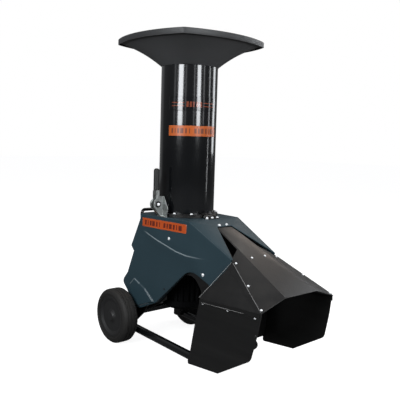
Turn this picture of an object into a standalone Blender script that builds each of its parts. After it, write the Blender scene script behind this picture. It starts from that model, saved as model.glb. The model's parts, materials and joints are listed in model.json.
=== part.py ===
"""Electric garden shredder: a funnel and feed tube that tilt on a front hinge over a cutting rotor.

The model stands on z = 0. Its chips leave towards +X, +Y is its left side, and it is symmetric
about the plane y = 0 but for the toggle clamp. All sizes are in metres.
"""

from math import acos, atan2, cos, pi, radians, sin, tan

import bmesh
import bpy
from mathutils import Matrix, Vector
from mathutils.geometry import delaunay_2d_cdt

# Gaps between solids: pieces that are fixed together, and pieces that run in each other
FIT = 0.0003
RUN = 0.0008
SMOOTH_ANGLE = radians(35)

# Feed tube, its flanges and the deck below them
TUBE_RADIUS = 0.100
TUBE_WALL = 0.002
TUBE_TOP = 1.007
FLANGE_RADIUS = TUBE_RADIUS + 0.014
FLANGE_THICK = 0.006
RING_THICK = 0.006
DECK_TOP = 0.484
DECK_SHEET = 0.003

# Funnel: a bowed square rim that runs down to the tube
FUNNEL_HALF = 0.183
FUNNEL_BOW = 0.042
FUNNEL_RIM_TOP = 1.1005
FUNNEL_LIP = 0.019
FUNNEL_WALL = 0.004
FUNNEL_FLARE = 1.65
LIP_RECESS = 0.0065
SPIGOT_LENGTH = 0.035

# Painted body, seen from above: half its width at the tube's axis, and how it narrows forwards
LEDGE_WIDTH = 0.0135
BODY_HALF_WIDTH = FLANGE_RADIUS + LEDGE_WIDTH
BODY_TAPER = 0.075
BODY_SHEET = 0.002
DECK_REAR_X = 0.004 - TUBE_RADIUS
REAR_BOW = 0.022
REAR_BOW_HALF = TUBE_RADIUS
HINGE_X = FLANGE_RADIUS + 0.0145
DECK_FRONT_X = HINGE_X + 0.0235
NOSE_X = 0.350
NOSE_Z = 0.387
LIP_X = 0.204
LIP_Z = 0.467
LIP_HALF = 0.033
CREASE_RISE = 0.004
EMBOSS_RISE = 0.0065
ARCH_FLANGE = 0.010

# Discharge hood: the +Y ends of its fold lines
HOOD_SHEET = 0.002
HOOD_LAP = HOOD_SHEET + FIT
HOOD_START = (0.206, 0.031)
HOOD_APEX = Vector((0.348, 0.1005, 0.380))
OUTLET_TOP = Vector((0.5428, 0.0737, 0.3058))
SHOULDER_FRONT = Vector((0.5377, 0.1687, 0.2751))
SHOULDER_REAR = Vector((0.2750, 0.1695, 0.2620))
HOOD_SPREAD = 0.186
HOOD_LEAN = 0.063
HOOD_REAR_EDGE = [(0.2740, 0.2560), (0.2583, 0.170), (0.247, 0.087), (0.238, 0.050)]

# Chassis and frame
COVER_SPACE = 0.0215
CHEEK_HALF = BODY_HALF_WIDTH - COVER_SPACE
BRACKET_WIDTH = 0.010
FRAME_TUBE_RADIUS = 0.014
FRAME_HALF = CHEEK_HALF + BRACKET_WIDTH + FRAME_TUBE_RADIUS
FRAME_FRONT_X = 0.252
FRAME_BEND = 0.055
FRAME_REAR_X = -0.190
FRAME_REAR_Z = 0.0575
FRAME_FRONT_Z = 0.0395
CHEEK_SHEET = 0.004
MOTOR_PLATE_Z = 0.366
MOTOR_PLATE_THICK = 0.005
FOOT_RADIUS = 0.020
FOOT_HALF = 0.060

# Wheels and axle
WHEEL_RADIUS = 0.100
WHEEL_WIDTH = 0.062
WHEEL_GAP = 0.0065
WHEEL_OUTER_Y = FRAME_HALF + FRAME_TUBE_RADIUS + WHEEL_GAP + WHEEL_WIDTH
WHEEL_Z = WHEEL_RADIUS
WHEEL_X = -0.166
AXLE_RADIUS = 0.008
BEAM_RADIUS = 0.014
RIM_RADIUS = 0.074

# Rotor, chamber and motor
CHAMBER_RADIUS = TUBE_RADIUS + 0.001
CHAMBER_WALL = 0.0025
DISC_RADIUS = CHAMBER_RADIUS - 0.007
DISC_THICK = 0.008
DISC_TOP = 0.420
SHAFT_RADIUS = 0.012
MOTOR_RADIUS = 0.072
MOTOR_LOW_Z = 0.180
MOTOR_HIGH_Z = 0.345
FIN_COUNT = 24
FIN_HEIGHT = 0.006
FAN_COVER_LOW_Z = 0.150

# Tube hinge
HINGE_Z = DECK_TOP + FIT + RING_THICK + FIT
HINGE_PIN_RADIUS = 0.003
KNUCKLE_RADIUS = 0.006
KNUCKLE_HALF = 0.008
HINGE_HALF = 0.024

# Toggle clamp on the deck's right ledge: places as (y, z)
CLAMP_X = 0.008
CLAMP_INNER_Y = -FLANGE_RADIUS - 0.0025
CHEEK_GAP = 0.0055
CLAMP_PLATE = 0.0025
BAR_PIVOT = (CLAMP_INNER_Y - 0.0075, 0.512)
LEVER_PIVOT = (CLAMP_INNER_Y - 0.0255, 0.529)
CLAMP_PIN_RADIUS = 0.003
SPINDLE_Y = CLAMP_INNER_Y + 0.007
BOSS_RADIUS = 0.0195
GRIP_RADIUS = 0.010
GRIP_LOW_Z = 0.5775
GRIP_TOP_Z = 0.653
GRIP_Y = CLAMP_INNER_Y - 0.027

# Rear handle and switch box
HANDLE_RADIUS = 0.006
HANDLE_HALF = 0.074
HANDLE_X = DECK_REAR_X - 0.072
HANDLE_TOP_Z = 0.487
WALL_POINT = (DECK_REAR_X - 0.0526, 0.400)
WALL_NORMAL = (-0.9053, 0.4248)
SWITCH_DEPTH = 0.034
BUTTON_RADIUS = 0.009
BUTTON_SPREAD = 0.018
BUTTON_TRAVEL = 0.003


# Scene, materials and places

def clear_scene():
    for thing in list(bpy.data.objects):
        bpy.data.objects.remove(thing, do_unlink=True)


def make_collection(name):
    group = bpy.data.collections.new(name)
    bpy.context.scene.collection.children.link(group)
    return group


clear_scene()
PARTS = make_collection("garden_shredder")
CUTTERS = make_collection("cutters")


def make_material(name, colour, roughness, metallic=0.0):
    finish = bpy.data.materials.new(name)
    finish.use_nodes = True
    shader = finish.node_tree.nodes["Principled BSDF"]
    shader.inputs["Base Color"].default_value = (*colour, 1.0)
    shader.inputs["Roughness"].default_value = roughness
    shader.inputs["Metallic"].default_value = metallic
    finish.diffuse_color = (*colour, 1.0)
    return finish


PAINT = make_material("body_paint", (0.030, 0.045, 0.055), 0.25)
BLACK_GLOSS = make_material("black_gloss", (0.012, 0.012, 0.013), 0.18)
BLACK_SHEET = make_material("black_sheet", (0.014, 0.014, 0.015), 0.35)
BLACK_PLASTIC = make_material("black_plastic", (0.030, 0.030, 0.031), 0.55)
RUBBER = make_material("rubber", (0.022, 0.021, 0.020), 0.75)
ZINC = make_material("zinc", (0.55, 0.56, 0.55), 0.35, 1.0)
STEEL = make_material("steel", (0.40, 0.40, 0.41), 0.35, 1.0)
MOTOR_PAINT = make_material("motor_paint", (0.05, 0.055, 0.06), 0.5)
GREEN = make_material("green_plastic", (0.02, 0.25, 0.05), 0.4)
RED = make_material("red_plastic", (0.45, 0.02, 0.02), 0.4)


def make_frame(name, place, parent=None):
    """An empty: the machine's own frame, or the axis that a moving body turns on."""
    frame = bpy.data.objects.new(name, None)
    frame.location = place
    frame.parent = parent
    frame.empty_display_size = 0.05
    PARTS.objects.link(frame)
    return frame


def add(name, mesh, finish, parent, place=(0, 0, 0), turn=None):
    """Link a mesh as a named sub-part; place and turn are in the machine's frame."""
    thing = bpy.data.objects.new(name, mesh)
    mesh.materials.clear()
    mesh.materials.append(finish)
    PARTS.objects.link(thing)
    return settle(thing, parent, place, turn)


def settle(thing, parent, place=(0, 0, 0), turn=None):
    offset = parent.location if parent.parent else Vector()
    thing.parent = parent
    thing.location = Vector(place) - offset
    if turn is not None:
        thing.rotation_euler = turn
    return thing


# Outlines, in two coordinates

def fillet(corners, segments=5):
    """Round each (u, v, radius) corner of a closed outline with an arc."""
    points = []
    count = len(corners)
    for i in range(count):
        here = Vector(corners[i][:2])
        radius = corners[i][2] if len(corners[i]) > 2 else 0.0
        if radius <= 0:
            points.append(tuple(here))
            continue
        back = (Vector(corners[i - 1][:2]) - here).normalized()
        ahead = (Vector(corners[(i + 1) % count][:2]) - here).normalized()
        half = acos(max(-1.0, min(1.0, back.dot(ahead)))) / 2
        centre = here + (back + ahead).normalized() * radius / sin(half)
        first = here + back * radius / tan(half) - centre
        last = here + ahead * radius / tan(half) - centre
        sweep = first.angle_signed(last)
        for k in range(segments + 1):
            step = Matrix.Rotation(-sweep * k / segments, 2)
            points.append(tuple(centre + step @ first))
    return points


def circle(u, v, radius, count=24):
    return [(u + radius * cos(2 * pi * k / count), v + radius * sin(2 * pi * k / count)) for k in range(count)]


def box_outline(low_u, low_v, high_u, high_v, radius=0.0):
    corners = [(low_u, low_v), (high_u, low_v), (high_u, high_v), (low_u, high_v)]
    return fillet([(u, v, radius) for u, v in corners], 4)


# Solids

def mesh_from(thing):
    """The evaluated mesh of a curve or of an object with modifiers, with its doubles merged."""
    bpy.context.view_layer.update()
    graph = bpy.context.evaluated_depsgraph_get()
    mesh = bpy.data.meshes.new_from_object(thing.evaluated_get(graph))
    form = bmesh.new()
    form.from_mesh(mesh)
    bmesh.ops.remove_doubles(form, verts=form.verts, dist=1e-6)
    bmesh.ops.recalc_face_normals(form, faces=form.faces)
    form.to_mesh(mesh)
    form.free()
    bpy.data.objects.remove(thing, do_unlink=True)
    return mesh


def shade(mesh):
    mesh.shade_smooth()
    mesh.set_sharp_from_angle(angle=SMOOTH_ANGLE)
    return mesh


def prism_mesh(outlines, low, high, axis="Z"):
    """A flat outline, with any holes after it, given its thickness along an axis.

    The outline's two coordinates are (x, y) for Z, (x, z) for Y and (y, z) for X.
    """
    curve = bpy.data.curves.new("outline", "CURVE")
    curve.dimensions = "2D"
    curve.fill_mode = "BOTH"
    curve.extrude = (high - low) / 2
    for outline in outlines:
        spline = curve.splines.new("POLY")
        spline.points.add(len(outline) - 1)
        for point, (u, v) in zip(spline.points, outline):
            point.co = (u, v, 0, 1)
        spline.use_cyclic_u = True
    thing = bpy.data.objects.new("outline", curve)
    PARTS.objects.link(thing)
    mesh = mesh_from(thing)
    mesh.transform(Matrix.Translation((0, 0, (low + high) / 2)))
    turns = {"Z": Matrix.Identity(4),
             "Y": Matrix.Rotation(pi / 2, 4, "X") @ Matrix.Scale(-1, 4, (0, 0, 1)),
             "X": Matrix(((0, 0, 1, 0), (1, 0, 0, 0), (0, 1, 0, 0), (0, 0, 0, 1)))}
    mesh.transform(turns[axis])
    if turns[axis].determinant() < 0:
        mesh.flip_normals()
    return mesh


def box_mesh(low, high):
    form = bmesh.new()
    bmesh.ops.create_cube(form, size=1.0)
    size = Vector(high) - Vector(low)
    centre = (Vector(high) + Vector(low)) / 2
    bmesh.ops.transform(form, matrix=Matrix.Translation(centre) @ Matrix.Diagonal((*size, 1)), verts=form.verts)
    mesh = bpy.data.meshes.new("box")
    form.to_mesh(mesh)
    form.free()
    return mesh


def rod_mesh(radius, start, end, count=24, end_radius=None):
    """A cylinder, or a cone where end_radius is given, from one point to another."""
    form = bmesh.new()
    start = Vector(start)
    along = Vector(end) - start
    last = radius if end_radius is None else end_radius
    bmesh.ops.create_cone(form, cap_ends=True, segments=count, radius1=radius, radius2=last, depth=along.length)
    turn = along.to_track_quat("Z", "Y").to_matrix().to_4x4()
    bmesh.ops.transform(form, matrix=Matrix.Translation(start + along / 2) @ turn, verts=form.verts)
    mesh = bpy.data.meshes.new("rod")
    form.to_mesh(mesh)
    form.free()
    return shade(mesh)


def turned_mesh(profile, count=48, axis="Z"):
    """A profile of (radius, height) points, top to bottom down its outer side, turned round Z or Y.

    It is closed, unless it starts and ends on the axis.
    """
    mesh = bpy.data.meshes.new("profile")
    edges = [(i, (i + 1) % len(profile)) for i in range(len(profile))]
    edges = [(a, b) for a, b in edges if profile[a][0] > 0 or profile[b][0] > 0]
    mesh.from_pydata([(r, 0, z) for r, z in profile], edges, [])
    thing = bpy.data.objects.new("profile", mesh)
    PARTS.objects.link(thing)
    screw = thing.modifiers.new("turn", "SCREW")
    screw.steps = screw.render_steps = count
    screw.use_merge_vertices = True
    screw.merge_threshold = 1e-6
    screw.use_normal_calculate = True
    solid = mesh_from(thing)
    if axis == "Y":
        solid.transform(Matrix.Rotation(-pi / 2, 4, "X"))
    return shade(solid)


def ring_mesh(inner, outer, low, high, count=48):
    return turned_mesh([(outer, high), (outer, low), (inner, low), (inner, high)], count)


def pipe_mesh(points, radius, bevels=3):
    """A round bar or tube along a smooth run of points, with closed ends."""
    curve = bpy.data.curves.new("pipe", "CURVE")
    curve.dimensions = "3D"
    curve.bevel_depth = radius
    curve.bevel_resolution = bevels
    curve.use_fill_caps = True
    spline = curve.splines.new("POLY")
    spline.points.add(len(points) - 1)
    for point, place in zip(spline.points, points):
        point.co = (*place, 1)
    thing = bpy.data.objects.new("pipe", curve)
    PARTS.objects.link(thing)
    return shade(mesh_from(thing))


def bent_line(corners, radius, segments=6):
    """Points along straight runs whose inner corners are bent to a radius."""
    points = [Vector(corners[0])]
    for before, here, after in zip(corners, corners[1:], corners[2:]):
        here = Vector(here)
        back = (Vector(before) - here).normalized()
        ahead = (Vector(after) - here).normalized()
        half = back.angle(ahead) / 2
        centre = here + (back + ahead).normalized() * radius / sin(half)
        first = here + back * radius / tan(half) - centre
        normal = first.cross(here + ahead * radius / tan(half) - centre)
        sweep = pi - 2 * half
        for k in range(segments + 1):
            points.append(centre + Matrix.Rotation(sweep * k / segments, 3, normal) @ first)
    points.append(Vector(corners[-1]))
    return points


def combine(name, meshes, finish, parent, cuts=(), place=(0, 0, 0), turn=None):
    """One solid: the first mesh with the others joined on and the cuts taken away."""
    thing = add(name, meshes[0], finish, parent, place, turn)
    for kind, shapes in (("UNION", meshes[1:]), ("DIFFERENCE", cuts)):
        for shape in shapes:
            tool = bpy.data.objects.new(name + "_cutter", shape)
            CUTTERS.objects.link(tool)
            settle(tool, parent, place, turn)
            tool.hide_render = True
            tool.display_type = "WIRE"
            step = thing.modifiers.new(kind.lower(), "BOOLEAN")
            step.operation = kind
            step.object = tool
    return thing


def sheet(name, corners, faces, thickness, finish, parent, inwards=True):
    """Folded sheet metal: an open surface of named corners with its thickness laid on one side."""
    mesh = bpy.data.meshes.new(name)
    mesh.from_pydata([tuple(corner) for corner in corners], [], faces)
    form = bmesh.new()
    form.from_mesh(mesh)
    bmesh.ops.triangulate(form, faces=form.faces)
    form.to_mesh(mesh)
    form.free()
    thing = add(name, mesh, finish, parent)
    wall = thing.modifiers.new("thickness", "SOLIDIFY")
    wall.thickness = thickness
    wall.offset = -1.0 if inwards else 1.0
    wall.use_even_offset = True
    return thing


def mirrored(mesh):
    """The mesh on the machine's other side."""
    other = mesh.copy()
    other.transform(Matrix.Scale(-1, 4, (0, 1, 0)))
    other.flip_normals()
    return other


# Bodies: the machine's frame, and an axis for everything that moves

TUBE_X = -(OUTLET_TOP.x + WHEEL_X - WHEEL_RADIUS) / 2
MACHINE = make_frame("machine", (TUBE_X, 0, 0))
FEED_TUBE = make_frame("feed_tube", (HINGE_X, 0, HINGE_Z), MACHINE)
CLAMP_BAR = make_frame("clamp_bar_axis", (CLAMP_X, *BAR_PIVOT), MACHINE)
CLAMP_LEVER = make_frame("clamp_lever_axis", (CLAMP_X, *LEVER_PIVOT), MACHINE)
ROTOR = make_frame("rotor", (0, 0, DISC_TOP), MACHINE)
WHEELS = {side: make_frame(f"wheel_{side}", (WHEEL_X, y, WHEEL_Z), MACHINE)
          for side, y in (("left", WHEEL_OUTER_Y), ("right", -WHEEL_OUTER_Y))}
SIDES = {"left": 1, "right": -1}


def on_side(name, mesh, finish, side, parent=MACHINE):
    """A piece made for the +Y side, put on the side that is asked for."""
    return add(f"{name}_{side}", mesh if SIDES[side] > 0 else mirrored(mesh), finish, parent)


# Painted body

def body_half(x):
    return BODY_HALF_WIDTH - BODY_TAPER * x


def deck_slope_z(x):
    """Height of the deck's front slope, from the flat top down to the lip."""
    return DECK_TOP - (x - DECK_FRONT_X) * (DECK_TOP - LIP_Z) / (LIP_X - DECK_FRONT_X)


def rear_corners():
    """The body's rear in (x, z, radius), from the deck down past the bulge to the bottom corner."""
    runs = [(0, DECK_TOP), (0.001, 0.467), (-0.0485, 0.3615, 0.006), (-0.033, 0.343),
            (-0.067, 0.258), (-0.097, 0.221, 0.018), (-0.066, 0.188), (-0.031, 0.137, 0.012)]
    return [(DECK_REAR_X + x, z, *radius) for x, z, *radius in runs]


def cover_outline():
    """The side cover in (x, z), and where the arch in its lower edge starts and ends."""
    before = rear_corners() + [(DECK_REAR_X + 0.008, 0.137, 0.03), (-0.003, 0.175, 0.01)]
    arch = [(0.1624, 0.3263, 0.065), (0.315, 0.262)]
    front = [(NOSE_X - 0.005, NOSE_Z + 0.001), (DECK_FRONT_X, DECK_TOP)]
    outline = fillet(before + arch + front)
    first = next(i for i, (x, z) in enumerate(outline) if x > DECK_REAR_X - 0.024 and z < 0.2)
    last = next(i for i, (x, z) in enumerate(outline) if x > 0.31 and z < 0.3) - 1
    return outline, first, last


def cover_folds():
    """The crease and the raised facet low at the rear: (x, z, rise) points in linked runs."""
    rear = DECK_REAR_X
    crease = [(rear + 0.026, 0.424, 0), (0.027, 0.395, CREASE_RISE), (0.100, 0.375, CREASE_RISE),
              (0.134, 0.3665, CREASE_RISE), (0.209, 0.370, CREASE_RISE / 2), (0.250, 0.372, 0)]
    low = [(rear - 0.048, 0.216, 0), (rear - 0.035, 0.153, EMBOSS_RISE), (rear + 0.006, 0.151, EMBOSS_RISE),
           (-0.012, 0.177, 0)]
    high = [low[0], (rear - 0.0255, 0.241, 0), (rear + 0.0335, 0.215, 0), low[-1]]
    return crease, low, high


def side_cover_mesh():
    """The left cover: a tapering panel with its folds, and a flange turned in along the arch."""
    outline, first, last = cover_outline()
    points = [Vector(point) for point in outline]
    rises = [0.0] * len(points)
    links = []
    for run in cover_folds():
        indices = []
        for x, z, rise in run:
            known = [i for i, p in enumerate(points) if (p - Vector((x, z))).length < 1e-6]
            if not known:
                points.append(Vector((x, z)))
                rises.append(rise)
            indices.append(known[0] if known else len(points) - 1)
        links += zip(indices, indices[1:])
    ring = list(range(len(outline)))
    flat, _, faces, origins, _, _ = delaunay_2d_cdt(points, links, [ring], 1, 1e-7)
    corners = [(p.x, body_half(p.x) + rises[source[0]], p.y) for p, source in zip(flat, origins)]
    place = {source[0]: i for i, source in enumerate(origins)}
    faces = [tuple(reversed(face)) for face in faces]
    for i in range(first, last + 1):
        x, y, z = corners[place[i]]
        corners.append((x, max(y - ARCH_FLANGE, CHEEK_HALF + 4 * FIT), z))
    start = len(flat) - first
    for i in range(first, last):
        faces.append((place[i], place[i + 1], start + i + 1, start + i))
    return corners, faces


def make_body():
    corners, faces = side_cover_mesh()
    for side, sign in SIDES.items():
        placed = [(x, sign * y, z) for x, y, z in corners]
        turned = faces if sign > 0 else [tuple(reversed(face)) for face in faces]
        sheet(f"side_cover_{side}", placed, turned, BODY_SHEET, PAINT, MACHINE)
    make_rear_cover()
    make_deck()


def make_rear_cover():
    """The rear wall: it stands out in the middle, between the side covers, with air slots."""
    profile = fillet(rear_corners() + [(DECK_REAR_X - 0.004, 0.137)])[:-1]
    rows = []
    for x, z in profile:
        edge = body_half(x) - BODY_SHEET - 3 * FIT
        rows.append([(x, edge, z), (x - REAR_BOW, REAR_BOW_HALF, z), (x - REAR_BOW, -REAR_BOW_HALF, z), (x, -edge, z)])
    corners = [corner for row in rows for corner in row]
    faces = []
    for i in range(0, 4 * len(rows) - 4, 4):
        faces += [(i + k + 4, i + k + 5, i + k + 1, i + k) for k in range(3)]
    wall = sheet("rear_cover", corners, faces, BODY_SHEET, PAINT, MACHINE)
    for k in range(4):
        slot = box_mesh((DECK_REAR_X - 0.114, -0.045, 0.272 + 0.014 * k), (DECK_REAR_X - 0.044, 0.045, 0.277 + 0.014 * k))
        cut_out(wall, slot, MACHINE)


def cut_out(thing, shape, parent):
    tool = bpy.data.objects.new(thing.name + "_cutter", shape)
    CUTTERS.objects.link(tool)
    settle(tool, parent)
    tool.hide_render = True
    tool.display_type = "WIRE"
    step = thing.modifiers.new("cut", "BOOLEAN")
    step.operation = "DIFFERENCE"
    step.object = tool


def make_deck():
    """Flat top, sloping lip in front, and a facet down to each side's nose."""
    inner = BODY_SHEET + FIT
    half = {x: body_half(x) - inner for x in (DECK_REAR_X, DECK_FRONT_X, NOSE_X)}
    ends = [(DECK_REAR_X + 0.0032, half[DECK_REAR_X], DECK_TOP), (DECK_FRONT_X, half[DECK_FRONT_X], DECK_TOP),
            (LIP_X, LIP_HALF, LIP_Z), (NOSE_X, half[NOSE_X], NOSE_Z)]
    bow = (DECK_REAR_X - REAR_BOW + 0.0027, REAR_BOW_HALF - 0.0012, DECK_TOP)
    corners = [(x, -y, z) for x, y, z in ends] + ends + [(bow[0], -bow[1], bow[2]), bow]
    faces = [(0, 1, 5, 4, 9, 8), (1, 2, 6, 5), (1, 3, 2), (5, 6, 7)]
    deck = sheet("deck_plate", corners, faces, DECK_SHEET, PAINT, MACHINE)
    cut_out(deck, rod_mesh(TUBE_RADIUS - 0.0015, (0, 0, DECK_TOP - 0.024), (0, 0, DECK_TOP + 0.016), 48), MACHINE)
    top = DECK_TOP + FIT
    ring = ring_mesh(TUBE_RADIUS - 0.0015, FLANGE_RADIUS, top, top + RING_THICK)
    add("base_ring", ring, BLACK_SHEET, MACHINE)


# Feed tube and funnel

def rim_outline(steps=8):
    """The funnel's rim seen from above: a square with bowed sides and rounded corners."""
    half = FUNNEL_HALF
    radius = (half ** 2 + FUNNEL_BOW ** 2) / (2 * FUNNEL_BOW)
    span = atan2(half, radius - FUNNEL_BOW)
    corners = []
    for quarter in range(4):
        turn = Matrix.Rotation(quarter * pi / 2, 2)
        for k in range(steps):
            angle = span * (2 * k / steps - 1)
            point = turn @ Vector((half + FUNNEL_BOW - radius + radius * cos(angle), radius * sin(angle)))
            corners.append((point.x, point.y, 0.012 if k == 0 else 0))
    return fillet(corners, 3)


def funnel_profile():
    """The funnel's section as (flare, inset, z): flare 0 is the tube's circle and flare 1 the rim."""
    low = TUBE_TOP + FIT
    rise = FUNNEL_RIM_TOP - FUNNEL_LIP - low
    steps = (0.94, 0.8, 0.65, 0.5, 0.36, 0.23, 0.12, 0.04)

    def height(flare):
        lift = LIP_RECESS * (max(0, flare - 0.55) / 0.45) ** 2
        return low + rise * (1 - (1 - flare) ** FUNNEL_FLARE) + lift

    spigot = TUBE_WALL + 0.0008
    edge = low + rise
    outside = [(1, 0, FUNNEL_RIM_TOP), (1, 0, edge), (1, FUNNEL_WALL, edge), (1, FUNNEL_WALL, edge + LIP_RECESS)]
    outside += [(s, 0, height(s)) for s in steps] + [(0, 0, low)]
    inside = [(0, spigot, low), (0, spigot, low - SPIGOT_LENGTH), (0, spigot + 0.003, low - SPIGOT_LENGTH)]
    inside += [(s, FUNNEL_WALL * (1 - s) + 0.0018, height(s) + FUNNEL_WALL) for s in reversed(steps)]
    return outside + inside + [(1, FUNNEL_WALL, edge + LIP_RECESS + FUNNEL_WALL), (1, FUNNEL_WALL, FUNNEL_RIM_TOP)]


def funnel_mesh():
    """The profile carried round the rim outline, each ring part way between circle and rim."""
    rim = [Vector(point) for point in rim_outline()]
    profile = funnel_profile()
    form = bmesh.new()
    rings = []
    for flare, inset, z in profile:
        ring = []
        for point in rim:
            plan = point.normalized() * TUBE_RADIUS
            plan = plan.lerp(point, flare)
            plan -= plan.normalized() * inset
            ring.append(form.verts.new((plan.x, plan.y, z)))
        rings.append(ring)
    count = len(rim)
    for upper, lower in zip(rings, rings[1:] + rings[:1]):
        for i in range(count):
            form.faces.new((upper[i], lower[i], lower[(i + 1) % count], upper[(i + 1) % count]))
    bmesh.ops.recalc_face_normals(form, faces=form.faces)
    mesh = bpy.data.meshes.new("funnel")
    form.to_mesh(mesh)
    form.free()
    return shade(mesh)


def make_feed_tube():
    low = HINGE_Z
    inner = TUBE_RADIUS - TUBE_WALL
    add("infeed_tube", ring_mesh(inner, TUBE_RADIUS, low, TUBE_TOP), BLACK_GLOSS, FEED_TUBE)
    flange = ring_mesh(TUBE_RADIUS + FIT, FLANGE_RADIUS, low, low + FLANGE_THICK)
    add("tube_flange", flange, BLACK_SHEET, FEED_TUBE)
    add("funnel", funnel_mesh(), BLACK_PLASTIC, FEED_TUBE)


def make_hinge():
    """A leaf on the deck, a leaf on the tube's flange, and the pin that both turn on."""
    gap = 0.0005
    low = DECK_TOP + FIT
    top = HINGE_Z + FLANGE_THICK + FIT
    axis = (HINGE_X, HINGE_Z)
    lower = [box_mesh((HINGE_X + 0.007, -HINGE_HALF, low), (HINGE_X + 0.0225, HINGE_HALF, low + 0.003))]
    for sign in (-1, 1):
        ends = sorted((sign * (KNUCKLE_HALF + gap), sign * HINGE_HALF))
        start, end = ((axis[0], y, axis[1]) for y in ends)
        lower.append(rod_mesh(KNUCKLE_RADIUS, start, end))
        lower.append(box_mesh((HINGE_X, ends[0], low + 0.0002), (HINGE_X + 0.0085, ends[1], low + 0.003)))
    hole = [rod_mesh(HINGE_PIN_RADIUS + FIT, (axis[0], -0.03, axis[1]), (axis[0], 0.03, axis[1]))]
    combine("hinge_leaf_lower", lower, BLACK_SHEET, MACHINE, hole)
    knuckle = rod_mesh(KNUCKLE_RADIUS, (axis[0], -KNUCKLE_HALF, axis[1]), (axis[0], KNUCKLE_HALF, axis[1]))
    web = box_mesh((FLANGE_RADIUS + 0.0025, -KNUCKLE_HALF, HINGE_Z), (HINGE_X, KNUCKLE_HALF, top + 0.002))
    leaf = box_mesh((TUBE_RADIUS + 0.0035, -0.020, top), (HINGE_X - 0.001, 0.020, top + 0.003))
    combine("hinge_leaf_upper", [leaf, web, knuckle], BLACK_SHEET, FEED_TUBE, hole)
    pin = rod_mesh(HINGE_PIN_RADIUS, (axis[0], -0.0265, axis[1]), (axis[0], 0.0265, axis[1]))
    add("hinge_pin", pin, ZINC, MACHINE)


# Toggle clamp

def make_clamp_base():
    """Two cheeks for the pins, a foot on the deck's ledge, and a wing beside the flange."""
    front = CLAMP_X + CHEEK_GAP
    low = DECK_TOP + FIT
    inner = CLAMP_INNER_Y
    foot = inner - 0.0097
    cheek = fillet([(inner, low), (foot, low), (inner - 0.0415, 0.518, 0.008), (inner - 0.0415, 0.536, 0.008),
                    (inner - 0.0235, 0.5555, 0.006), (inner, 0.5555)], 3)
    pieces = [prism_mesh([cheek], front, front + CLAMP_PLATE, "X"),
              prism_mesh([cheek], CLAMP_X - CHEEK_GAP - CLAMP_PLATE, CLAMP_X - CHEEK_GAP, "X")]
    wing = fillet([(front, low), (0.037, low), (0.042, 0.516, 0.006), (0.019, 0.5565, 0.006), (front, 0.5565)], 3)
    pieces.append(prism_mesh([wing], inner - CLAMP_PLATE, inner, "Y"))
    pieces.append(box_mesh((-0.006, foot, low), (0.037, inner, low + 0.003)))
    cuts = []
    for y, z in (BAR_PIVOT, LEVER_PIVOT):
        cuts.append(rod_mesh(CLAMP_PIN_RADIUS + FIT, (-0.02, y, z), (0.03, y, z)))
    combine("clamp_base", pieces, ZINC, MACHINE, cuts)


def make_clamp_lever():
    """A fork outside the cheeks: two round bosses, two arms and a bridge into the grip."""
    y, z = LEVER_PIVOT
    near = CHEEK_GAP + CLAMP_PLATE + FIT
    pieces = []
    for low in (CLAMP_X + near, CLAMP_X - near - CLAMP_PLATE):
        pieces.append(prism_mesh([circle(y, z, BOSS_RADIUS, 28)], low, low + CLAMP_PLATE, "X"))
        arm = box_outline(GRIP_Y - 0.0065, z + 0.01, GRIP_Y + 0.0065, GRIP_LOW_Z - 0.001)
        pieces.append(prism_mesh([arm], low, low + CLAMP_PLATE, "X"))
    wide = near + CLAMP_PLATE
    pieces.append(box_mesh((CLAMP_X - wide, GRIP_Y - 0.0065, 0.562), (CLAMP_X + wide, GRIP_Y + 0.0065, 0.5765)))
    pieces.append(rod_mesh(0.005, (CLAMP_X, GRIP_Y, 0.570), (CLAMP_X, GRIP_Y, GRIP_TOP_Z - 0.012), 16))
    hole = rod_mesh(CLAMP_PIN_RADIUS + FIT, (-0.02, y, z), (0.04, y, z))
    combine("clamp_lever", pieces, ZINC, CLAMP_LEVER, [hole])
    profile = [(0, GRIP_TOP_Z), (0.006, GRIP_TOP_Z - 0.001), (GRIP_RADIUS, GRIP_TOP_Z - 0.006),
               (GRIP_RADIUS, GRIP_LOW_Z + 0.001), (GRIP_RADIUS - 0.001, GRIP_LOW_Z), (0.0053, GRIP_LOW_Z),
               (0.0053, GRIP_TOP_Z - 0.0115), (0, GRIP_TOP_Z - 0.0115)]
    grip = turned_mesh(profile, 24)
    grip.transform(Matrix.Translation((CLAMP_X, GRIP_Y, 0)))
    add("clamp_grip", grip, BLACK_PLASTIC, CLAMP_LEVER)


def make_clamp_bar():
    """The bar that holds the flange down: an eye on its pin, an arm, and a spindle through it."""
    y, z = BAR_PIVOT
    half = CHEEK_GAP - 0.001
    outline = fillet([(y - 0.0075, z - 0.0065, 0.006), (SPINDLE_Y + 0.0045, 0.5085, 0.002),
                      (SPINDLE_Y + 0.0045, 0.5185, 0.002), (y - 0.0075, z + 0.0075, 0.006)], 4)
    bar = prism_mesh([outline], CLAMP_X - half, CLAMP_X + half, "X")
    cuts = [rod_mesh(CLAMP_PIN_RADIUS + FIT, (-0.02, y, z), (0.04, y, z)),
            rod_mesh(0.003 + FIT, (CLAMP_X, SPINDLE_Y, 0.50), (CLAMP_X, SPINDLE_Y, 0.53), 16)]
    combine("clamp_bar", [bar], ZINC, CLAMP_BAR, cuts)
    low = HINGE_Z + FLANGE_THICK + FIT
    spindle = turned_mesh([(0, 0.5213), (0.003, 0.5213), (0.003, 0.5035), (0.0035, 0.503),
                           (0.0035, low), (0, low)], 20)
    spindle.transform(Matrix.Translation((CLAMP_X, SPINDLE_Y, 0)))
    add("clamp_spindle", spindle, BLACK_PLASTIC, CLAMP_BAR)


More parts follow.
